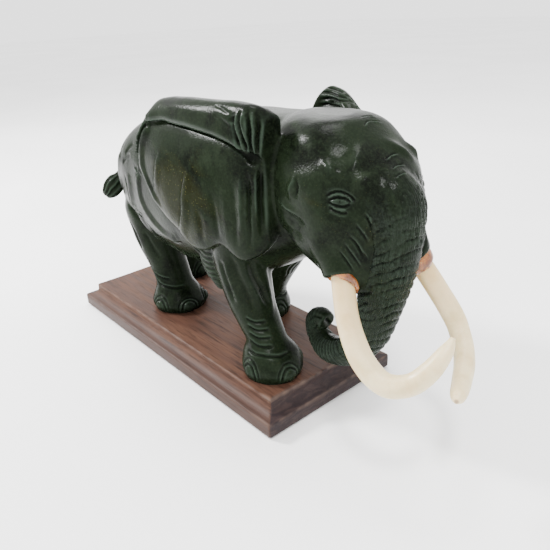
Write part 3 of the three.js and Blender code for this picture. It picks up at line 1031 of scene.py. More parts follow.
        drapes = [
            ([(82, -49, 144), (82, -49, 128), (80, -48, 113)], 2.4, 0.7, Mark.CUT),
            ([(68, -50, 132), (67, -50, 120), (63, -49, 106)], 2.6, 0.6, Mark.CUT),
            ([(91, -48, 150), (91, -49, 132), (89, -48, 112)], 2.6, 0.5, Mark.RAISED),
            ([(97, -46, 152), (98, -48, 134), (96, -47, 112)], 1.7, 0.8, Mark.CUT),
            ([(102, -45, 157), (102, -46, 142), (101, -46, 122)], 1.5, 0.9, Mark.RAISED),
            ([(105, -44, 160), (106, -45, 146), (105, -45, 130), (104, -44, 111)], 1.4, 2.2, Mark.CUT),
            ([(109, -42, 158), (109, -43, 146), (108, -43, 132)], 1.2, 1.2, Mark.RAISED),
            ([(111, -40, 162), (112, -41, 148), (111, -41, 134), (110, -41, 118)], 1.9, 3.2, Mark.CUT),
            ([(97, -44, 185), (99, -46, 177), (102, -45, 169), (107, -43, 163)], 1.3, 2.9, Mark.CUT),
            ([(99, -43, 187), (101, -46, 178), (103.5, -45, 170), (107, -43, 164)], 1.1, 1.0, Mark.RAISED),
            ([(101, -43, 188), (103, -45, 179), (105, -44, 170), (108, -42, 164)], 1.2, 2.6, Mark.CUT),
            ([(103, -43, 188), (105, -44, 179), (106, -44, 170), (108, -42, 165)], 1.1, 1.1, Mark.RAISED),
            ([(105, -42, 188), (107, -43, 179), (107, -43, 170), (108, -42, 165)], 1.2, 2.9, Mark.CUT),
            ([(107, -41, 188), (109, -42, 179), (109, -42, 171), (109, -41, 165)], 1.1, 1.0, Mark.RAISED),
            ([(109, -39, 187), (111, -40, 178), (111, -41, 170), (109, -41, 164)], 1.2, 2.6, Mark.CUT),
            ([(78, -42, 187), (87, -43, 185.5), (96, -44, 183.5)], 0.8, 0.6, Mark.CUT),
            ([(80, -44, 182.5), (89, -45, 180.5), (97, -45, 178)], 0.8, 0.5, Mark.CUT),
        ]
        for line, width, depth, mark in drapes:
            carve.score(line, width, depth, mark, 0.35)
            carve.score([(x, 2 - y, min(z, 178)) for x, y, z in line], width, depth, mark, 0.2)
        for side in Side:
            carve.press((108, 42.5 * side.value, 163), (4, 4, 3), 3.0)
        carve.press((96.5, -45, 182), (1.8, 1.8, 1.3), 2.6)
        carve.settle()
        hood = [
            [(70, 44, 181), (78, 43, 183), (88, 41, 183), (97, 45, 181)],
            [(70, 43, 178), (80, 41, 179.5), (90, 40, 179), (99, 46, 178)],
            [(70, 42, 174.5), (80, 40, 176), (90, 40, 175.5), (100, 46, 175.5)],
            [(74, 46, 184.5), (82, 46, 185), (90, 45, 184)],
        ]
        self.lines(hood, 0.9, 1.2)
        carve.settle()

    def body(self) -> None:
        """Loose skin of the flanks, rump, elbows and belly, the last as a cosine across it."""
        carve = self.carver
        for side in Side:
            y = side.value
            folds = [
                [(-46, 34 * y, 141), (-41, 36 * y, 148), (-36, 37 * y, 152)],
                [(-50, 34 * y, 134), (-43, 36 * y, 140), (-36, 38 * y, 143)],
                [(-64, 30 * y, 152), (-72, 26 * y, 142), (-76, 24 * y, 128)],
                [(-56, 33 * y, 150), (-66, 30 * y, 136), (-69, 28 * y, 122)],
                [(-46, 36 * y, 128), (-44, 36 * y, 112), (-48, 35 * y, 98)],
            ]
            self.lines(folds, 1.4, 0.9)
            bulges = [
                [(-38, 36 * y, 130), (-41, 36 * y, 114), (-44, 34 * y, 100)],
                [(-58, 32 * y, 142), (-64, 31 * y, 128), (-64, 30 * y, 112)],
            ]
            self.lines(bulges, 4.5, 1.0, Mark.RAISED)
            for k in range(4):
                x, z = -20 + 9 * k, 86 - k
                self.lines([[(x, 34 * y, z), (x + 4, 30 * y, z - 7), (x + 12, 26 * y, z - 12)]], 0.9, 0.6)
        carve.settle()
        for k in range(8):
            z = 100 - 4.0 * k
            carve.score([(33 + 1.5 * k, -38, z + 1), (45, -39, z - 2), (57, -37, z - 1)], 0.9, 1.0)
        for k in range(7):
            z = 94 - 4.2 * k
            carve.score([(30 + k, 38, z), (38 + k, 40, z - 2), (50 + k, 40, z - 4)], 0.9, 0.9)
        carve.settle()
        who = carve.near(np.array([-50, -30, 60]), np.array([75, 30, 86]))
        under = np.clip(-carve.normals[who, 2], 0, 1)
        where = carve.points[who]
        pitch, height = 5.0, 0.4
        wave = np.cos(2 * np.pi * (where[:, 1] + 1.5 * ripple_noise(where, 18, 31)) / pitch)
        carve.points[who] += carve.normals[who] * (height * under * wave)[:, None]
        carve.settle()

    def legs(self) -> None:
        """Folds above the feet, knee wrinkles and toenails."""
        carve = self.carver
        animal = self.animal
        fore_folds = [
            [(80, -41, 104), (82, -39, 90), (85, -35, 76), (88, -31, 62)],
            [(88, -34, 102), (88, -31, 88), (90, -26, 76), (92, -22, 64)],
            [(72, -43, 98), (73, -41, 84), (77, -38, 68)],
        ]
        fore_ridges = [
            [(84, -38, 104), (85, -35, 90), (87, -31, 78), (89, -27, 66)],
            [(90, -24, 100), (89, -22, 86), (88, -20, 72), (91, -20, 58)],
            [(76, -43, 98), (77, -40, 84), (81, -37, 68)],
        ]
        self.lines(fore_folds, 1.8, 1.3)
        self.lines(fore_ridges, 2.2, 1.0, Mark.RAISED)
        left_fore = (fore_folds, 1.8, 1.1, Mark.CUT), (fore_ridges, 2.2, 0.9, Mark.RAISED)
        for lines, width, depth, mark in left_fore:
            self.lines([[(x - 14, 5 - y, z + 4) for x, y, z in line] for line in lines], width, depth, mark)
        hind_folds = [
            [(-52, -35, 104), (-42, -33, 96), (-34, -27, 90)],
            [(-56, -34, 92), (-50, -35, 80), (-47, -33, 66)],
            [(-40, -33, 84), (-36, -30, 72), (-34, -24, 60)],
        ]
        self.lines(hind_folds, 1.6, 1.1)
        self.lines([[(x - 22, 8 - y, z + 4) for x, y, z in line] for line in hind_folds], 1.6, 1.0)
        carve.settle()
        knee = [
            [(83, -36, 60), (88, -33, 57), (93, -27, 57)],
            [(84, -36, 55), (90, -33, 52), (96, -26, 52)],
            [(85, -36, 50), (91, -33, 47), (97, -26, 47)],
            [(85, -37, 45), (92, -34, 42), (99, -27, 42)],
            [(84, -40, 40), (93, -37, 38), (103, -28, 37), (105, -18, 38)],
        ]
        for dx, y_sum, flip in ((0, 0, 1), (-60, 3, -1)):
            for line in knee:
                moved = [(x + dx, y_sum + flip * y, z) for x, y, z in line]
                carve.score(moved, 0.85, 1.1)
                carve.score([(x, y, z + 1.9) for x, y, z in moved], 1.0, 0.5, Mark.RAISED)
        ankle = [
            [(-45, -28, 44), (-34, -29, 40), (-24, -22, 38), (-20, -12, 38)],
            [(-46, -27, 50), (-36, -28, 46), (-27, -22, 44)],
        ]
        for line in ankle:
            for moved in (line, [(x - 44, 12 - y, z) for x, y, z in line]):
                carve.score(moved, 0.9, 1.2)
                carve.score([(x, y, z + 2.0) for x, y, z in moved], 1.1, 0.6, Mark.RAISED)
        carve.settle()
        for rows, spots in (
            (animal.front_right, (-93, -8, 72)),
            (animal.front_left, (-80, -5, 80)),
            (animal.hind_right, (-82, -12, 56)),
            (animal.hind_left, (-70, 0, 66)),
        ):
            for degrees in spots:
                self.nail(rows[1], degrees)
        carve.settle()

    def nail(self, foot: tuple, degrees: float) -> None:
        """One round toenail on the rim of a foot, with the groove and the fold round it.

        Args:
            foot: the foot's row of x, y, z, half length and half width.
            degrees: where the nail sits round the foot, from +X.
        """
        x, y, _, length, width = foot

        def spot(turn: float, z: float) -> tuple:
            """The place on the foot's rim so many degrees from the nail's middle, at a height."""
            angle = math.radians(degrees + turn)
            return (x + length * math.cos(angle), y + width * math.sin(angle), z)

        self.carver.press(spot(0, 25.5), (5.0, 5.0, 5.0), -1.6)
        half_turn = np.linspace(0, math.pi, 8)
        for spread, rise, depth in ((17, 10.5, 1.2), (25, 14.5, 0.9)):
            arch = [spot(spread * math.cos(t), self.nail_foot + rise * math.sin(t)) for t in half_turn]
            self.carver.score(arch, 0.7, depth, taper=0.12)

    def tail(self) -> None:
        """Hair grooves of the tail's tuft: a cosine of the angle round the tail, twisting along it."""
        carve = self.carver
        path = catmull(np.array(self.animal.tail), 6)
        who, _, along, angle, _ = carve.tube(path, 11.0)
        locks, twist, height = 10, 9, 0.6
        waver = 0.6 * ripple_noise(carve.points[who], 9, 27)
        hair = np.cos(locks * angle + twist * along + waver) * swell(along, 0.5, 0.62)
        carve.points[who] += carve.normals[who] * (height * hair)[:, None]
        carve.settle()

    def surface(self) -> None:
        """The slight unevenness left by hand polishing."""
        carve = self.carver
        lumps = 0.18 * ripple_noise(carve.points, 26, 3) + 0.04 * ripple_noise(carve.points, 8, 4)
        carve.points += carve.normals * lumps[:, None]
        carve.settle()

    def work(self) -> None:
        """Carves every part, from the large forms to the fine ones."""
        self.surface()
        for part in (self.face, self.ears, self.body, self.legs, self.trunk, self.tail):
            part()
            LOG.info("carved %s", part.__name__)
        self.carver.relax(1, 0.4)


# ------------------------------------------------------------------ tusks, glue and plinth
@dataclass
class Tusk:
    """One tusk: a round bar with faint lengthwise flutes and a rounded tip.

    Its rows hold x, y, z and radius, in millimetres, from root to tip.
    """

    name: str
    rows: tuple
    sides: int = 48

    def build(self) -> bpy.types.Object:
        """Makes the tusk from circles square to its path, then a dome of shrinking circles.

        Returns:
            The tusk, in place, with a "tip" attribute that rises from root to tip.
        """
        path = catmull(np.array(self.rows), 14)
        end, back = path[-1], path[-2]
        ahead = (end - back)[:3] / np.linalg.norm((end - back)[:3])
        turn = np.linspace(0.25, 1.45, 6)[:, None]
        dome = np.hstack([end[:3] + 0.8 * end[3] * np.sin(turn) * ahead, end[3] * np.cos(turn)])
        path = np.vstack([path, dome])
        _, side, other = path_axes(path[:, :3])
        reach = np.repeat(path[:, 3:4], 4, axis=1)
        rings = oval_rings(path[:, :3], side, other, reach, self.sides, 2.0)
        centre = path[:, None, :3]
        angle = 2 * np.pi * np.arange(self.sides) / self.sides
        flute = 0.012 * np.sin(7 * angle)[None, :] + 0.008 * np.sin(3 * angle + 1)[None, :]
        bumps = 0.012 * ripple_noise(rings.reshape(-1, 3), 16, 51).reshape(rings.shape[:2])
        slimness = 0.98
        rings = centre + (rings - centre) * (slimness + flute + bumps)[..., None]
        obj = Skin().add_rings(rings).to_object(self.name)
        along = np.repeat(np.linspace(0, 1, len(path)), self.sides)
        set_attribute(obj, "tip", np.append(along, [0.0, 1.0]))
        return obj


@dataclass
class GlueBead:
    """The uneven collar of amber glue where a tusk leaves its socket.

    start and toward give the tusk's line, lean the side on which the glue ran down, run how far it
    did, and length how thick the collar is along the tusk. All are in millimetres.
    """

    name: str
    start: tuple
    toward: tuple
    lean: tuple
    run: float
    length: float
    seed: int
    profile: tuple = (
        (-0.9, 7.7),
        (0.0, 8.2),
        (0.4, 8.3),
        (0.75, 7.9),
        (0.95, 7.0),
        (1.0, 6.2),
        (0.7, 5.4),
        (0, 5.2),
        (-0.9, 5.4),
    )
    sides: int = 110

    def build(self) -> bpy.types.Object:
        """Turns a closed profile about the tusk's line.

        The profile holds places along the line, in lengths, and radii. Its outer side swells and
        thins by a sum of sines of the angle, and its rim runs forward as the angle's cosine.

        Returns:
            The collar, in place.
        """
        origin = np.array(self.start, float)
        along = np.array(self.toward, float) - origin
        along /= np.linalg.norm(along)
        across = np.array(self.lean, float) - np.dot(self.lean, along) * along
        across /= np.linalg.norm(across)
        other = np.cross(along, across)
        loop = catmull(np.array(self.profile), 6, closed=True)
        count, sides = len(loop), self.sides
        angle = (2 * np.pi * np.arange(sides) / sides)[:, None]
        dice = np.random.default_rng(self.seed)
        wave = sum(
            dice.uniform(0.4, 1) * np.sin(n * angle + dice.uniform(0, 6.28)) / n**0.7
            for n in (2, 3, 5, 8, 13)
        )
        outer = swell(loop[:, 1], 5.6, 7.2)[None, :]
        radius = loop[None, :, 1] + outer * (0.24 * wave - 0.1)
        rim = (loop[None, :, 0] > -0.5).astype(float)
        drips = self.run * np.cos(angle) + 0.45 * np.roll(wave, 9, axis=0)
        ahead = loop[None, :, 0] * self.length + rim * drips
        grid = (
            origin
            + ahead[..., None] * along
            + (radius * np.cos(angle))[..., None] * across
            + (radius * np.sin(angle))[..., None] * other
        )
        i, j = np.meshgrid(np.arange(sides), np.arange(count), indexing="ij")
        ni, nj = (i + 1) % sides, (j + 1) % count
        quads = np.stack([i * count + j, i * count + nj, ni * count + nj, ni * count + j], axis=-1)
        quads, points = quads.reshape(-1, 4), grid.reshape(-1, 3)
        a, b, c = points[quads[0, 0]], points[quads[0, 1]], points[quads[0, 2]]
        if np.cross(b - a, c - a) @ (a - origin - (a - origin) @ along * along) < 0:
            quads = quads[:, ::-1]
        return Skin(points, quads.tolist()).to_object(self.name)


@dataclass
class Plinth:
    """The moulded hardwood plinth: a band, a cove and a flat top, its front corner edges rubbed.

    Length and width are those of the top. band and step hold places out from the top's outline and
    heights, in millimetres, below and above the cove.
    """

    length: float = 230.0
    width: float = 92.0
    top: float = 20.0
    corner: float = 1.2
    underside: float = 1.3
    cove: float = 6.0
    band: tuple = (
        (6.0, 1.3),
        (8.2, 1.3),
        (8.5, 1.9),
        (8.5, 3.4),
        (8.5, 5.6),
        (8.5, 7.8),
        (8.5, 9.4),
        (8.3, 10.2),
        (7.6, 10.6),
    )
    step: tuple = (
        (0, 16.7),
        (0.02, 17.6),
        (0.02, 18.6),
        (0, 19.2),
        (-0.18, 19.7),
        (-0.6, 19.95),
        (-1.3, 20.0),
    )
    edge_points: int = 150

    def build(self) -> bpy.types.Object:
        """Sweeps a profile round the plinth's outline: place along the outline by place on the profile.

        The profile holds places out from the top's outline and heights: the underside, the band, a
        quarter round cove, the step and the top. The outline is a rectangle with small round
        corners, made as heading times corner radius about a smaller rectangle.

        Returns:
            The plinth, in place, with "endgrain", "band" and "wear" attributes.
        """
        turn = np.linspace(0.12, np.pi / 2, 9)
        out, foot = self.band[-1]
        cove = np.stack([out * (1 - np.sin(turn)), foot + self.cove * (1 - np.cos(turn))], axis=1)
        flat = [(-d, self.top) for d in (2.2, 3.4, 5, 8, 12, 18, 26, 34, 42)]
        under = [(-d, self.underside) for d in (40, 25, 12, 3)]
        rows = np.vstack([under, self.band, cove, self.step, flat])
        long_side, short_side = self.edge_points, int(self.edge_points * self.width / self.length)
        round_turn = np.linspace(0, np.pi / 2, 6)
        spans, headings = [], []
        for quarter in range(4):
            count = short_side if quarter % 2 == 0 else long_side
            t = np.linspace(-1, 1, count, endpoint=False)[1:]
            facing = np.pi / 2 * quarter
            normal = np.array([math.cos(facing), math.sin(facing)])
            tangent = np.array([-normal[1], normal[0]])
            spans.append(normal + t[:, None] * tangent)
            headings.append(np.tile(normal, (len(t), 1)))
            arc = facing + round_turn
            spans.append(np.tile(normal + tangent, (len(arc), 1)))
            headings.append(np.stack([np.cos(arc), np.sin(arc)], axis=1))
        span, heading = np.vstack(spans), np.vstack(headings)
        half = np.array([self.length / 2 - self.corner, self.width / 2 - self.corner])
        least = 0.6
        plan = span[None] * np.clip(half + rows[:, :1], least, None)[:, None, :] + heading[None] * self.corner
        rings = np.concatenate([plan, np.broadcast_to(rows[:, None, 1:], plan.shape[:2] + (1,))], axis=2)
        rings = self.rub(rings)
        obj = Skin().add_rings(rings).to_object("wooden_plinth")
        x, y, z = rings.reshape(-1, 3).T
        end = swell(np.abs(np.tile(heading[:, 0], len(rows))), 0.6, 0.95) * swell(self.top - z, 0.02, 0.4)
        set_attribute(obj, "endgrain", np.append(end, [0, 0]))
        set_attribute(obj, "band", np.append(1 - swell(z, 9.5, 16.0), [1, 0]))
        set_attribute(obj, "wear", np.append(self.rubbing(x, y, z), [0, 0]))
        return obj

    def rubbing(self, x: np.ndarray, y: np.ndarray, z: np.ndarray) -> np.ndarray:
        """How rubbed each place is: most along the top edge at the head end.

        It is the sum of a bell about the top edge and a fainter one about the band's rim, in
        patches of smooth noise.

        Args:
            x: places along the plinth.
            y: places across it.
            z: heights.

        Returns:
            A number from 0 to 1 for each place.
        """
        out = np.maximum(np.abs(x) - self.length / 2, np.abs(y) - self.width / 2)
        edge_z, (rim_out, rim_z) = self.top - 0.2, self.band[-2]
        edge = np.exp(-((out / 1.6) ** 2)) * np.exp(-(((z - edge_z) / 1.4) ** 2))
        rim = np.exp(-(((out - rim_out) / 0.9) ** 2)) * np.exp(-(((z - rim_z) / 0.9) ** 2))
        front = 0.35 + 0.65 * swell(x, 100, 114)
        patchy = np.clip(0.55 + 0.5 * ripple_noise(np.stack([x, y, z], axis=-1).reshape(-1, 3), 7, 61), 0, 1)
        return np.clip((edge + 0.6 * rim) * front * patchy.reshape(x.shape) * 1.3, 0, 1)

    def rub(self, rings: np.ndarray) -> np.ndarray:
        """Wears the sharp edges down unevenly and gives the top a slight wave.

        Args:
            rings: the plinth's points, one ring for each place on the profile.

        Returns:
            The moved points.
        """
        x, y, z = rings[..., 0], rings[..., 1], rings[..., 2]
        wear = self.rubbing(x, y, z)
        on_top = (z > self.top - 1) & (z < self.top + 0.01)
        above_foot = z > 2
        rings = rings.copy()
        rings[..., 2] -= 0.55 * wear * on_top
        rings[..., 0] = np.where(above_foot, x * (1 - 0.0035 * wear), x)
        rings[..., 1] = np.where(above_foot, y * (1 - 0.006 * wear), y)
        wave = 0.06 * ripple_noise(rings.reshape(-1, 3), 30, 63).reshape(z.shape)
        rings[..., 2] -= np.where((z > self.top - 0.1) & (wear < 0.05), np.abs(wave), 0)
        return rings


# ------------------------------------------------------------------ finishes
def rgb(code: int) -> tuple[float, float, float, float]:
    """A colour written as 0xRRGGBB, as linear red, green, blue and 1."""
    parts = [(code >> shift & 255) / 255 for shift in (16, 8, 0)]
    return (*[p / 12.92 if p <= 0.04045 else ((p + 0.055) / 1.055) ** 2.4 for p in parts], 1.0)


class Graph:
    """A material under construction: short calls that each add a node and give back its output."""

    def __init__(self, name: str) -> None:
        """Starts a material whose textures use object coordinates.

        Args:
            name: what the material is called.
        """
        self.material = bpy.data.materials.new(name)
        self.material.use_nodes = True
        self.tree = self.material.node_tree
        self.tree.nodes.clear()
        self.output = self.tree.nodes.new("ShaderNodeOutputMaterial")
        self.shader = self.tree.nodes.new("ShaderNodeBsdfPrincipled")
        self.tree.links.new(self.shader.outputs[0], self.output.inputs[0])
        self.place = self.tree.nodes.new("ShaderNodeTexCoord").outputs["Object"]

    def node(self, kind: str, inputs: dict | None = None, **settings: object) -> bpy.types.Node:
        """Adds a node.

        Args:
            kind: the node's type name.
            inputs: what goes into its sockets, by name or number.
            settings: its properties.

        Returns:
            The node.
        """
        made = self.tree.nodes.new(kind)
        for key, value in settings.items():
            setattr(made, key, value)
        for key, value in (inputs or {}).items():
            self.feed(made.inputs[key], value)
        return made

    def feed(self, socket: bpy.types.NodeSocket, value: object) -> None:
        """Links an output to a socket, or sets a plain value on it.

        Args:
            socket: the input to feed.
            value: a node's output, or a number, vector or colour.
        """
        if isinstance(value, bpy.types.NodeSocket):
            self.tree.links.new(value, socket)
        else:
            socket.default_value = value

    def mapping(self, stretch: tuple) -> bpy.types.NodeSocket:
        """Object coordinates multiplied by a number for each axis."""
        return self.node("ShaderNodeMapping", {"Vector": self.place, "Scale": stretch}).outputs[0]

    def noise(
        self, scale: float, detail: float = 3.0, rough: float = 0.5, bend: float = 0.0, at: object = None
    ) -> bpy.types.NodeSocket:
        """Fractal noise from 0 to 1."""
        values = {"Scale": scale, "Detail": detail, "Roughness": rough, "Distortion": bend}
        return self.node("ShaderNodeTexNoise", {"Vector": at or self.place} | values).outputs[0]

    def cells(self, scale: float) -> bpy.types.NodeSocket:
        """Distance to the nearest of many scattered points."""
        return self.node("ShaderNodeTexVoronoi", {"Vector": self.place, "Scale": scale}).outputs["Distance"]

    def distance(self, at: object, middle: tuple) -> bpy.types.NodeSocket:
        """Distance of a place from a middle, in metres."""
        return self.node("ShaderNodeVectorMath", {0: at, 1: middle}, operation="DISTANCE").outputs["Value"]

    def attribute(self, name: str) -> bpy.types.NodeSocket:
        """A number stored on the mesh."""
        return self.node("ShaderNodeAttribute", attribute_name=name).outputs["Fac"]

    def band(
        self, value: object, low: float, high: float, to_low: float = 0.0, to_high: float = 1.0
    ) -> bpy.types.NodeSocket:
        """Maps low..high smoothly to to_low..to_high."""
        values = {"Value": value, "From Min": low, "From Max": high, "To Min": to_low, "To Max": to_high}
        return self.node("ShaderNodeMapRange", values, interpolation_type="SMOOTHSTEP").outputs[0]

    def math(self, operation: str, a: object, b: object = 0.0) -> bpy.types.NodeSocket:
        """Adds one arithmetic step.

        Args:
            operation: its name.
            a: the first number or output.
            b: the second.

        Returns:
            The result's output.
        """
        made = self.node("ShaderNodeMath", operation=operation)
        self.feed(made.inputs[0], a)
        self.feed(made.inputs[1], b)
        return made.outputs[0]

    def mix(self, share: object, a: object, b: object) -> bpy.types.NodeSocket:
        """Mixes two colours.

        Args:
            share: how much of the second shows, from 0 to 1.
            a: the first colour.
            b: the second.

        Returns:
            The mixed colour's output.
        """
        made = self.node("ShaderNodeMix", data_type="RGBA")
        self.feed(made.inputs["Factor"], share)
        self.feed(made.inputs[6], a)
        self.feed(made.inputs[7], b)
        return made.outputs[2]

    def bump(
        self, height: object, distance: float, strength: float = 1.0, under: object = None
    ) -> bpy.types.NodeSocket:
        """Turns a height into a tilted normal.

        Args:
            height: a height from 0 to 1.
            distance: how far a height of 1 stands, in metres.
            strength: how much of the tilt is kept.
            under: a normal that this one is laid over.

        Returns:
            The normal's output.
        """
        values = {"Height": height, "Distance": distance, "Strength": strength}
        if under is not None:
            values["Normal"] = under
        return self.node("ShaderNodeBump", values).outputs[0]

    def finish(self, **values: object) -> bpy.types.Material:
        """Feeds the surface shader.

        Args:
            values: its inputs, by name with underscores for spaces.

        Returns:
            The finished material.
        """
        for key, value in values.items():
            self.feed(self.shader.inputs[key.replace("_", " ")], value)
        return self.material


@dataclass(frozen=True)
class PolishedStone:
    """Dark green stone with olive clouds and pale specks, with painted shade in its hollows and a painted
    highlight on its crests.
    """

    dark: int = 0x070A06
    mid: int = 0x12190F
    light: int = 0x20281C
    olive: int = 0x191A09
    speck: int = 0x66663A
    stipple: int = 0x283029
    # painted shade: near black laid into the grooves and hollows
    groove: int = 0x030503
    # painted highlight: a pale green laid on the crests of the carving
    crest_highlight_colour: int = 0x3A473C
    cloud_middle: tuple = (0.048, -0.05, 0.131)
    ear_middle: tuple = (0.055, -0.05, 0.138)
    ear_squat: float = 1.6
    scratches_round: float = 72.0
    scratch_waver: float = 9.0

    def build(self) -> bpy.types.Material:
        """Makes the material: less shine in a patch on the right ear, and scratches round the trunk.

        Returns:
            The material.
        """
        g = Graph("polished_stone")
        clouds = g.noise(38, 5, 0.6, 0.6)
        colour = g.mix(g.band(clouds, 0.35, 0.55), rgb(self.dark), rgb(self.mid))
        colour = g.mix(g.band(g.noise(90, 6, 0.65, 0.4), 0.5, 0.78, 0, 0.75), colour, rgb(self.light))
        zone = g.band(g.distance(g.place, self.cloud_middle), 0.05, 0.014, 0, 0.35)
        zone = g.math("ADD", zone, g.noise(24, 4, 0.55, 1.2))
        zone = g.band(zone, 0.6, 0.84)
        colour = g.mix(g.math("MULTIPLY", zone, 0.7), colour, rgb(self.olive))
        grain = g.noise(700, 3, 0.7)
        colour = g.mix(g.band(grain, 0.4, 0.72, 0, 0.35), colour, rgb(self.light))
        specks = g.band(g.cells(620), 0.16, 0.07)
        specks = g.math("MULTIPLY", specks, g.math("ADD", g.math("MULTIPLY", zone, 0.7), 0.08))
        colour = g.mix(specks, colour, rgb(self.speck))
        hollow, crest_highlight, matt = g.attribute("hollow"), g.attribute("crest_highlight"), g.attribute("matt")
        stipple = g.math("MULTIPLY", matt, g.band(g.noise(900, 2), 0.4, 0.6, 0.25, 0.75))
        colour = g.mix(stipple, colour, rgb(self.stipple))
        # Painted shade: the stone is darkened towards near black in its grooves, weighted by the hollow
        # attribute
        colour = g.mix(g.math("MULTIPLY", hollow, 0.85), colour, rgb(self.groove))
        # Painted highlight: the stone is lightened on its crests, weighted by the crest attribute
        colour = g.mix(g.math("MULTIPLY", crest_highlight, 0.5), colour, rgb(self.crest_highlight_colour))
        rough = g.band(g.noise(14, 2, 0.5), 0.3, 0.7, 0.19, 0.25)
        rough = g.math("ADD", rough, g.math("MULTIPLY", hollow, 0.3))
        rough = g.math("ADD", rough, g.math("MULTIPLY", matt, 0.12))
        normal = g.bump(g.noise(520, 4, 0.6), 0.00025, 0.35)
        normal = g.bump(g.cells(900), 0.0002, 0.25, normal)
        waver = g.math("MULTIPLY", g.noise(110, 3, 0.6), self.scratch_waver)
        turn = g.math("MULTIPLY", g.attribute("turn"), self.scratches_round)
        scratches = g.math("SINE", g.math("ADD", turn, waver))
        normal = g.bump(g.math("MULTIPLY", scratches, matt), 0.0003, 0.8, normal)
        x, y, z = self.ear_middle
        patch = g.distance(g.mapping((1.0, 1.0, self.ear_squat)), (x, y, z * self.ear_squat))
        polish = g.band(patch, 0.058, 0.024, 0.04, 0.008)
        return g.finish(Base_Color=colour, Roughness=rough, Normal=normal, Specular_IOR_Level=polish)


@dataclass(frozen=True)
class CarvedTusk:
    """Cream tusk with faint lengthwise grain, yellower at the root."""

    cream: int = 0xE0CEA2
    warm: int = 0xC3AA75
    grain: int = 0xC7B58F
    root: int = 0xC39A5C
    point: int = 0x6B4D35

    def build(self) -> bpy.types.Material:
        """Makes the material.

        Returns:
            The material.
        """
        g = Graph("cream_tusk")
        tip = g.attribute("tip")
        colour = g.mix(g.band(g.noise(70, 4, 0.6), 0.4, 0.7, 0, 0.6), rgb(self.cream), rgb(self.warm))
        colour = g.mix(g.band(g.noise(420, 3, 0.6, 0.5), 0.55, 0.75, 0, 0.25), colour, rgb(self.grain))
        colour = g.mix(g.band(tip, 0.45, 0.1, 0, 0.5), colour, rgb(self.root))
        colour = g.mix(g.band(tip, 0.965, 0.995, 0, 0.7), colour, rgb(self.point))
        normal = g.bump(g.noise(300, 4, 0.6), 0.0003, 0.3)
        rough = g.band(g.noise(120, 3), 0.3, 0.7, 0.3, 0.42)
        return g.finish(
            Base_Color=colour, Roughness=rough, Normal=normal, Subsurface_Weight=0.12, Subsurface_Scale=0.003
        )


@dataclass(frozen=True)
class AmberGlue:
    """Set amber glue, glossy and cloudy."""

    amber: int = 0x9C5C16
    deep: int = 0x5E300F
    froth: int = 0xB98A4A

    def build(self) -> bpy.types.Material:
        """Makes the material.

        Returns:
            The material.
        """
        g = Graph("amber_glue")
        colour = g.mix(g.band(g.noise(160, 4, 0.6, 0.8), 0.35, 0.65), rgb(self.deep), rgb(self.amber))
        colour = g.mix(g.band(g.noise(500, 3), 0.6, 0.75, 0, 0.5), colour, rgb(self.froth))
        normal = g.bump(g.noise(260, 3), 0.0006, 0.4)
        rough = g.band(g.noise(200, 2), 0.3, 0.7, 0.2, 0.4)
        return g.finish(
            Base_Color=colour,
            Roughness=rough,
            Normal=normal,
            Subsurface_Weight=0.35,
            Subsurface_Scale=0.002,
            Coat_Weight=0.4,
            Coat_Roughness=0.15,
        )


@dataclass(frozen=True)
class OiledHardwood:
    """Pinkish brown hardwood, grain along X, greyer on the band and dark on the ends."""

    face: int = 0x422C23
    pale: int = 0x52392C
    streak: int = 0x271914
    band: int = 0x3A2E2B
    end: int = 0x221D20
    pore: int = 0x21160F
    ring: int = 0x322929
    rubbed: int = 0x6A584D

    def build(self) -> bpy.types.Material:
        """Makes the material.

        Returns:
            The material.
        """
        g = Graph("oiled_hardwood")
        along = g.mapping((0.06, 1.0, 1.0))
        wide = g.noise(95, 5, 0.6, 1.5, along)
        fine = g.noise(520, 4, 0.65, 0.4, along)
        pores = g.noise(1500, 2, 0.5, 0.0, g.mapping((0.03, 1, 1)))
        colour = g.mix(g.band(wide, 0.35, 0.68), rgb(self.face), rgb(self.pale))
        colour = g.mix(g.band(fine, 0.5, 0.7, 0, 0.8), colour, rgb(self.streak))
        colour = g.mix(g.band(pores, 0.55, 0.67, 0, 0.75), colour, rgb(self.pore))
        colour = g.mix(g.math("MULTIPLY", g.attribute("band"), 0.6), colour, rgb(self.band))
        rings = g.noise(240, 4, 0.6, 1.0, g.mapping((1, 0.35, 1.6)))
        end = g.mix(g.band(rings, 0.4, 0.66), rgb(self.end), rgb(self.ring))
        colour = g.mix(g.math("MULTIPLY", g.attribute("endgrain"), 0.85), colour, end)
        colour = g.mix(g.math("MULTIPLY", g.attribute("wear"), 0.6), colour, rgb(self.rubbed))
        normal = g.bump(fine, 0.0003, 0.35)
        normal = g.bump(pores, 0.0002, 0.5, normal)
        rough = g.band(wide, 0.3, 0.7, 0.42, 0.58)
        return g.finish(Base_Color=colour, Roughness=rough, Normal=normal, Specular_IOR_Level=0.12)


@dataclass(frozen=True)
class GreenBaize:
    """Dark green felt with a short nap."""

    cloth: int = 0x26382C
    nap: int = 0x3C5344
    shade: int = 0x1B281F

    def build(self) -> bpy.types.Material:
        """Makes the material.

        Returns:
            The material.
        """
        g = Graph("green_baize")
        fuzz = g.noise(1800, 3, 0.7)
        colour = g.mix(g.band(fuzz, 0.35, 0.7), rgb(self.cloth), rgb(self.nap))
        colour = g.mix(g.band(g.noise(60, 3), 0.5, 0.75, 0, 0.4), colour, rgb(self.shade))
        return g.finish(Base_Color=colour, Roughness=0.95, Normal=g.bump(fuzz, 0.0004, 0.6), Sheen_Weight=0.4)


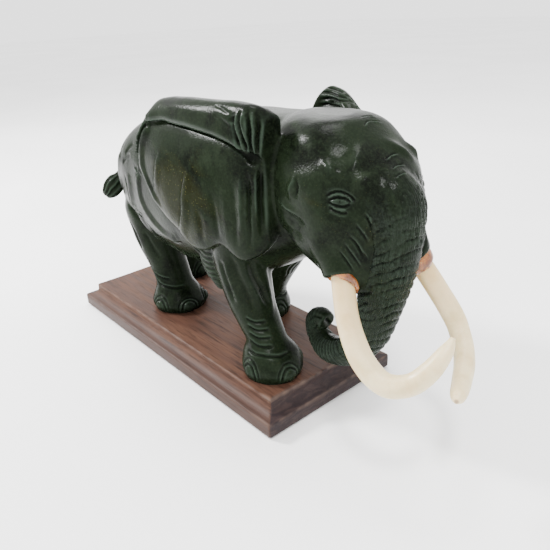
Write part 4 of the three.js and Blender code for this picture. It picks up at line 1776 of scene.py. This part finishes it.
@dataclass(frozen=True)
class ZincSteel:
    """Bright plated steel with small scuffs."""

    tone: int = 0xA9ABAA
    scuff: int = 0x6E706E

    def build(self) -> bpy.types.Material:
        """Makes the material.

        Returns:
            The material.
        """
        g = Graph("zinc_steel")
        scuffs = g.noise(900, 3, 0.6, 0.2, g.mapping((1, 1, 0.1)))
        colour = g.mix(g.band(scuffs, 0.45, 0.75, 0, 0.6), rgb(self.tone), rgb(self.scuff))
        rough = g.band(scuffs, 0.3, 0.7, 0.25, 0.5)
        return g.finish(Base_Color=colour, Roughness=rough, Normal=g.bump(scuffs, 0.0001, 0.3), Metallic=1.0)


# ------------------------------------------------------------------ studio
@dataclass
class Studio:
    """A pale floor, soft lights and the camera.

    Each box is a name, a place, a width and a power, in metres and watts.
    """

    azimuth: float = 49.98
    elevation: float = 25.05
    roll: float = -2.79
    distance: float = 0.34477
    target: tuple = (0.09493, -0.02073, 0.08737)
    lens: float = 37.99
    floor_size: float = 6.0
    floor_tone: int = 0xFCFCFC
    floor_shade: int = 0xF8F8F8
    surround: float = 2.35
    lamp_target: tuple = (0.05, -0.01, 0.1)
    boxes: tuple = (
        ("key_box", (-0.80, -0.50, 0.85), 0.2, 28.0),
        ("front_box", (0.51, -0.31, 1.2), 0.18, 11.0),
        ("back_box", (-0.75, 0.6, 0.65), 0.6, 3.0),
        ("top_box", (-0.1, 0.2, 1.15), 0.34, 6.0),
    )

    def build(self) -> None:
        """Makes the floor, lights, world and camera."""
        self.floor()
        self.lights()
        self.camera()

    def floor(self) -> None:
        """One large pale sheet under the object."""
        size = self.floor_size
        corners = [(-size, -size, 0), (size, -size, 0), (size, size, 0), (-size, size, 0)]
        mesh = bpy.data.meshes.new("floor")
        mesh.from_pydata(corners, [], [(0, 1, 2, 3)])
        floor = bpy.data.objects.new("floor", mesh)
        bpy.context.scene.collection.objects.link(floor)
        g = Graph("pale_floor")
        tone = g.mix(g.band(g.noise(3, 2), 0.4, 0.6), rgb(self.floor_tone), rgb(self.floor_shade))
        mesh.materials.append(g.finish(Base_Color=tone, Roughness=0.9))

    def lights(self) -> None:
        """Soft boxes round the object and an even pale surround."""
        world = bpy.data.worlds.new("surround")
        world.use_nodes = True
        background = world.node_tree.nodes["Background"]
        background.inputs["Color"].default_value = (1, 1, 1, 1)
        background.inputs["Strength"].default_value = self.surround
        bpy.context.scene.world = world
        for name, place, size, power in self.boxes:
            light = bpy.data.lights.new(name, "AREA")
            light.shape = "SQUARE"
            light.size = size
            light.energy = power
            lamp = bpy.data.objects.new(name, light)
            lamp.matrix_world = look_at(np.array(place), np.array(self.lamp_target), 0.0)
            bpy.context.scene.collection.objects.link(lamp)

    def camera(self) -> None:
        """The camera, turned about the target and rolled a little."""
        a, e = math.radians(self.azimuth), math.radians(self.elevation)
        back = np.array([math.sin(a) * math.cos(e), -math.cos(a) * math.cos(e), math.sin(e)])
        target = np.array(self.target)
        data = bpy.data.cameras.new("camera")
        data.sensor_width = 36.0
        data.lens = self.lens
        data.clip_start = 0.01
        camera = bpy.data.objects.new("camera", data)
        camera.matrix_world = look_at(target + back * self.distance, target, self.roll)
        bpy.context.scene.collection.objects.link(camera)
        bpy.context.scene.camera = camera


def look_at(place: np.ndarray, target: np.ndarray, roll: float) -> Matrix:
    """Works out a matrix whose -Z points from a place to a target, with its Y up, then rolled.

    Args:
        place: where it stands, in metres.
        target: what it looks at.
        roll: its turn about its own Z, in degrees.

    Returns:
        The 4 by 4 matrix.
    """
    ahead = (target - place) / np.linalg.norm(target - place)
    right = np.cross(ahead, [0, 0, 1.0])
    right /= np.linalg.norm(right)
    up = np.cross(right, ahead)
    cos, sin = math.cos(math.radians(roll)), math.sin(math.radians(roll))
    axes = np.eye(4)
    axes[:3, 0] = cos * right + sin * up
    axes[:3, 1] = -sin * right + cos * up
    axes[:3, 2] = -ahead
    axes[:3, 3] = place
    return Matrix(axes.tolist())


# ------------------------------------------------------------------ the whole
RIGHT_TUSK = (
    (151, -24, 119, 6),
    (158, -30, 106, 5.8),
    (167.5, -36, 90, 6),
    (179, -39.3, 76, 6.2),
    (192, -38.5, 67.8, 6),
    (203, -33.5, 70, 5.5),
    (209.5, -26.5, 78, 5),
    (212, -19.5, 86, 3.7),
    (212, -15.2, 90.5, 1.6),
)
LEFT_TUSK = (
    (165.5, 8.5, 120, 6),
    (172, 15, 106, 5.9),
    (180, 21, 91, 5.9),
    (191, 22.8, 75.5, 5.8),
    (202.5, 14, 64.5, 5.5),
    (211.5, -2, 60.5, 5),
    (216.5, -12.5, 60.2, 4),
    (218, -16, 60.3, 2),
)


def dress(piece: bpy.types.Object, material: bpy.types.Material) -> bpy.types.Object:
    """Gives a piece its finish and ties it to the fixed body.

    Args:
        piece: the object.
        material: the finish.

    Returns:
        The same object.
    """
    piece.data.materials.clear()
    piece.data.materials.append(material)
    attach(piece, "root")
    LOG.info("%s: %d faces", piece.name, len(piece.data.polygons))
    return piece


def main() -> None:
    """Builds every piece in order."""
    logging.basicConfig(level=logging.INFO, format="%(name)s %(message)s")
    stone, cream, amber = PolishedStone().build(), CarvedTusk().build(), AmberGlue().build()
    wood, felt, steel = OiledHardwood().build(), GreenBaize().build(), ZincSteel().build()
    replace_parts(dress(StoneElephant().build(), stone), "elephant")
    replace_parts(dress(Tusk("tusk_right_carved", RIGHT_TUSK).build(), cream), "tusk_right")
    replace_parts(dress(Tusk("tusk_left_carved", LEFT_TUSK).build(), cream), "tusk_left")
    right_lip, left_lip = StoneElephant.right_lip[-1][:3], StoneElephant.left_lip[-1][:3]
    right_bead = GlueBead("glue_bead_right", right_lip, RIGHT_TUSK[2][:3], (0.5, 0.8, -0.3), 4.6, 4.0, 71)
    left_bead = GlueBead("glue_bead_left", left_lip, LEFT_TUSK[2][:3], (0.3, -0.9, 0), 1.6, 7.0, 72)
    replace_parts(dress(right_bead.build(), amber), "tusk_glue_right")
    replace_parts(dress(left_bead.build(), amber), "tusk_glue_left")
    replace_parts(dress(Plinth().build(), wood), "plinth")
    for name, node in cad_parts.items():
        finish = felt if name == "baize" else steel if name.startswith(("stud", "washer", "nut")) else None
        if finish:
            node.data.materials.clear()
            node.data.materials.append(finish)
            LOG.info("%s keeps its shape", name)
    Studio().build()


if __name__ == "__main__":
    main()
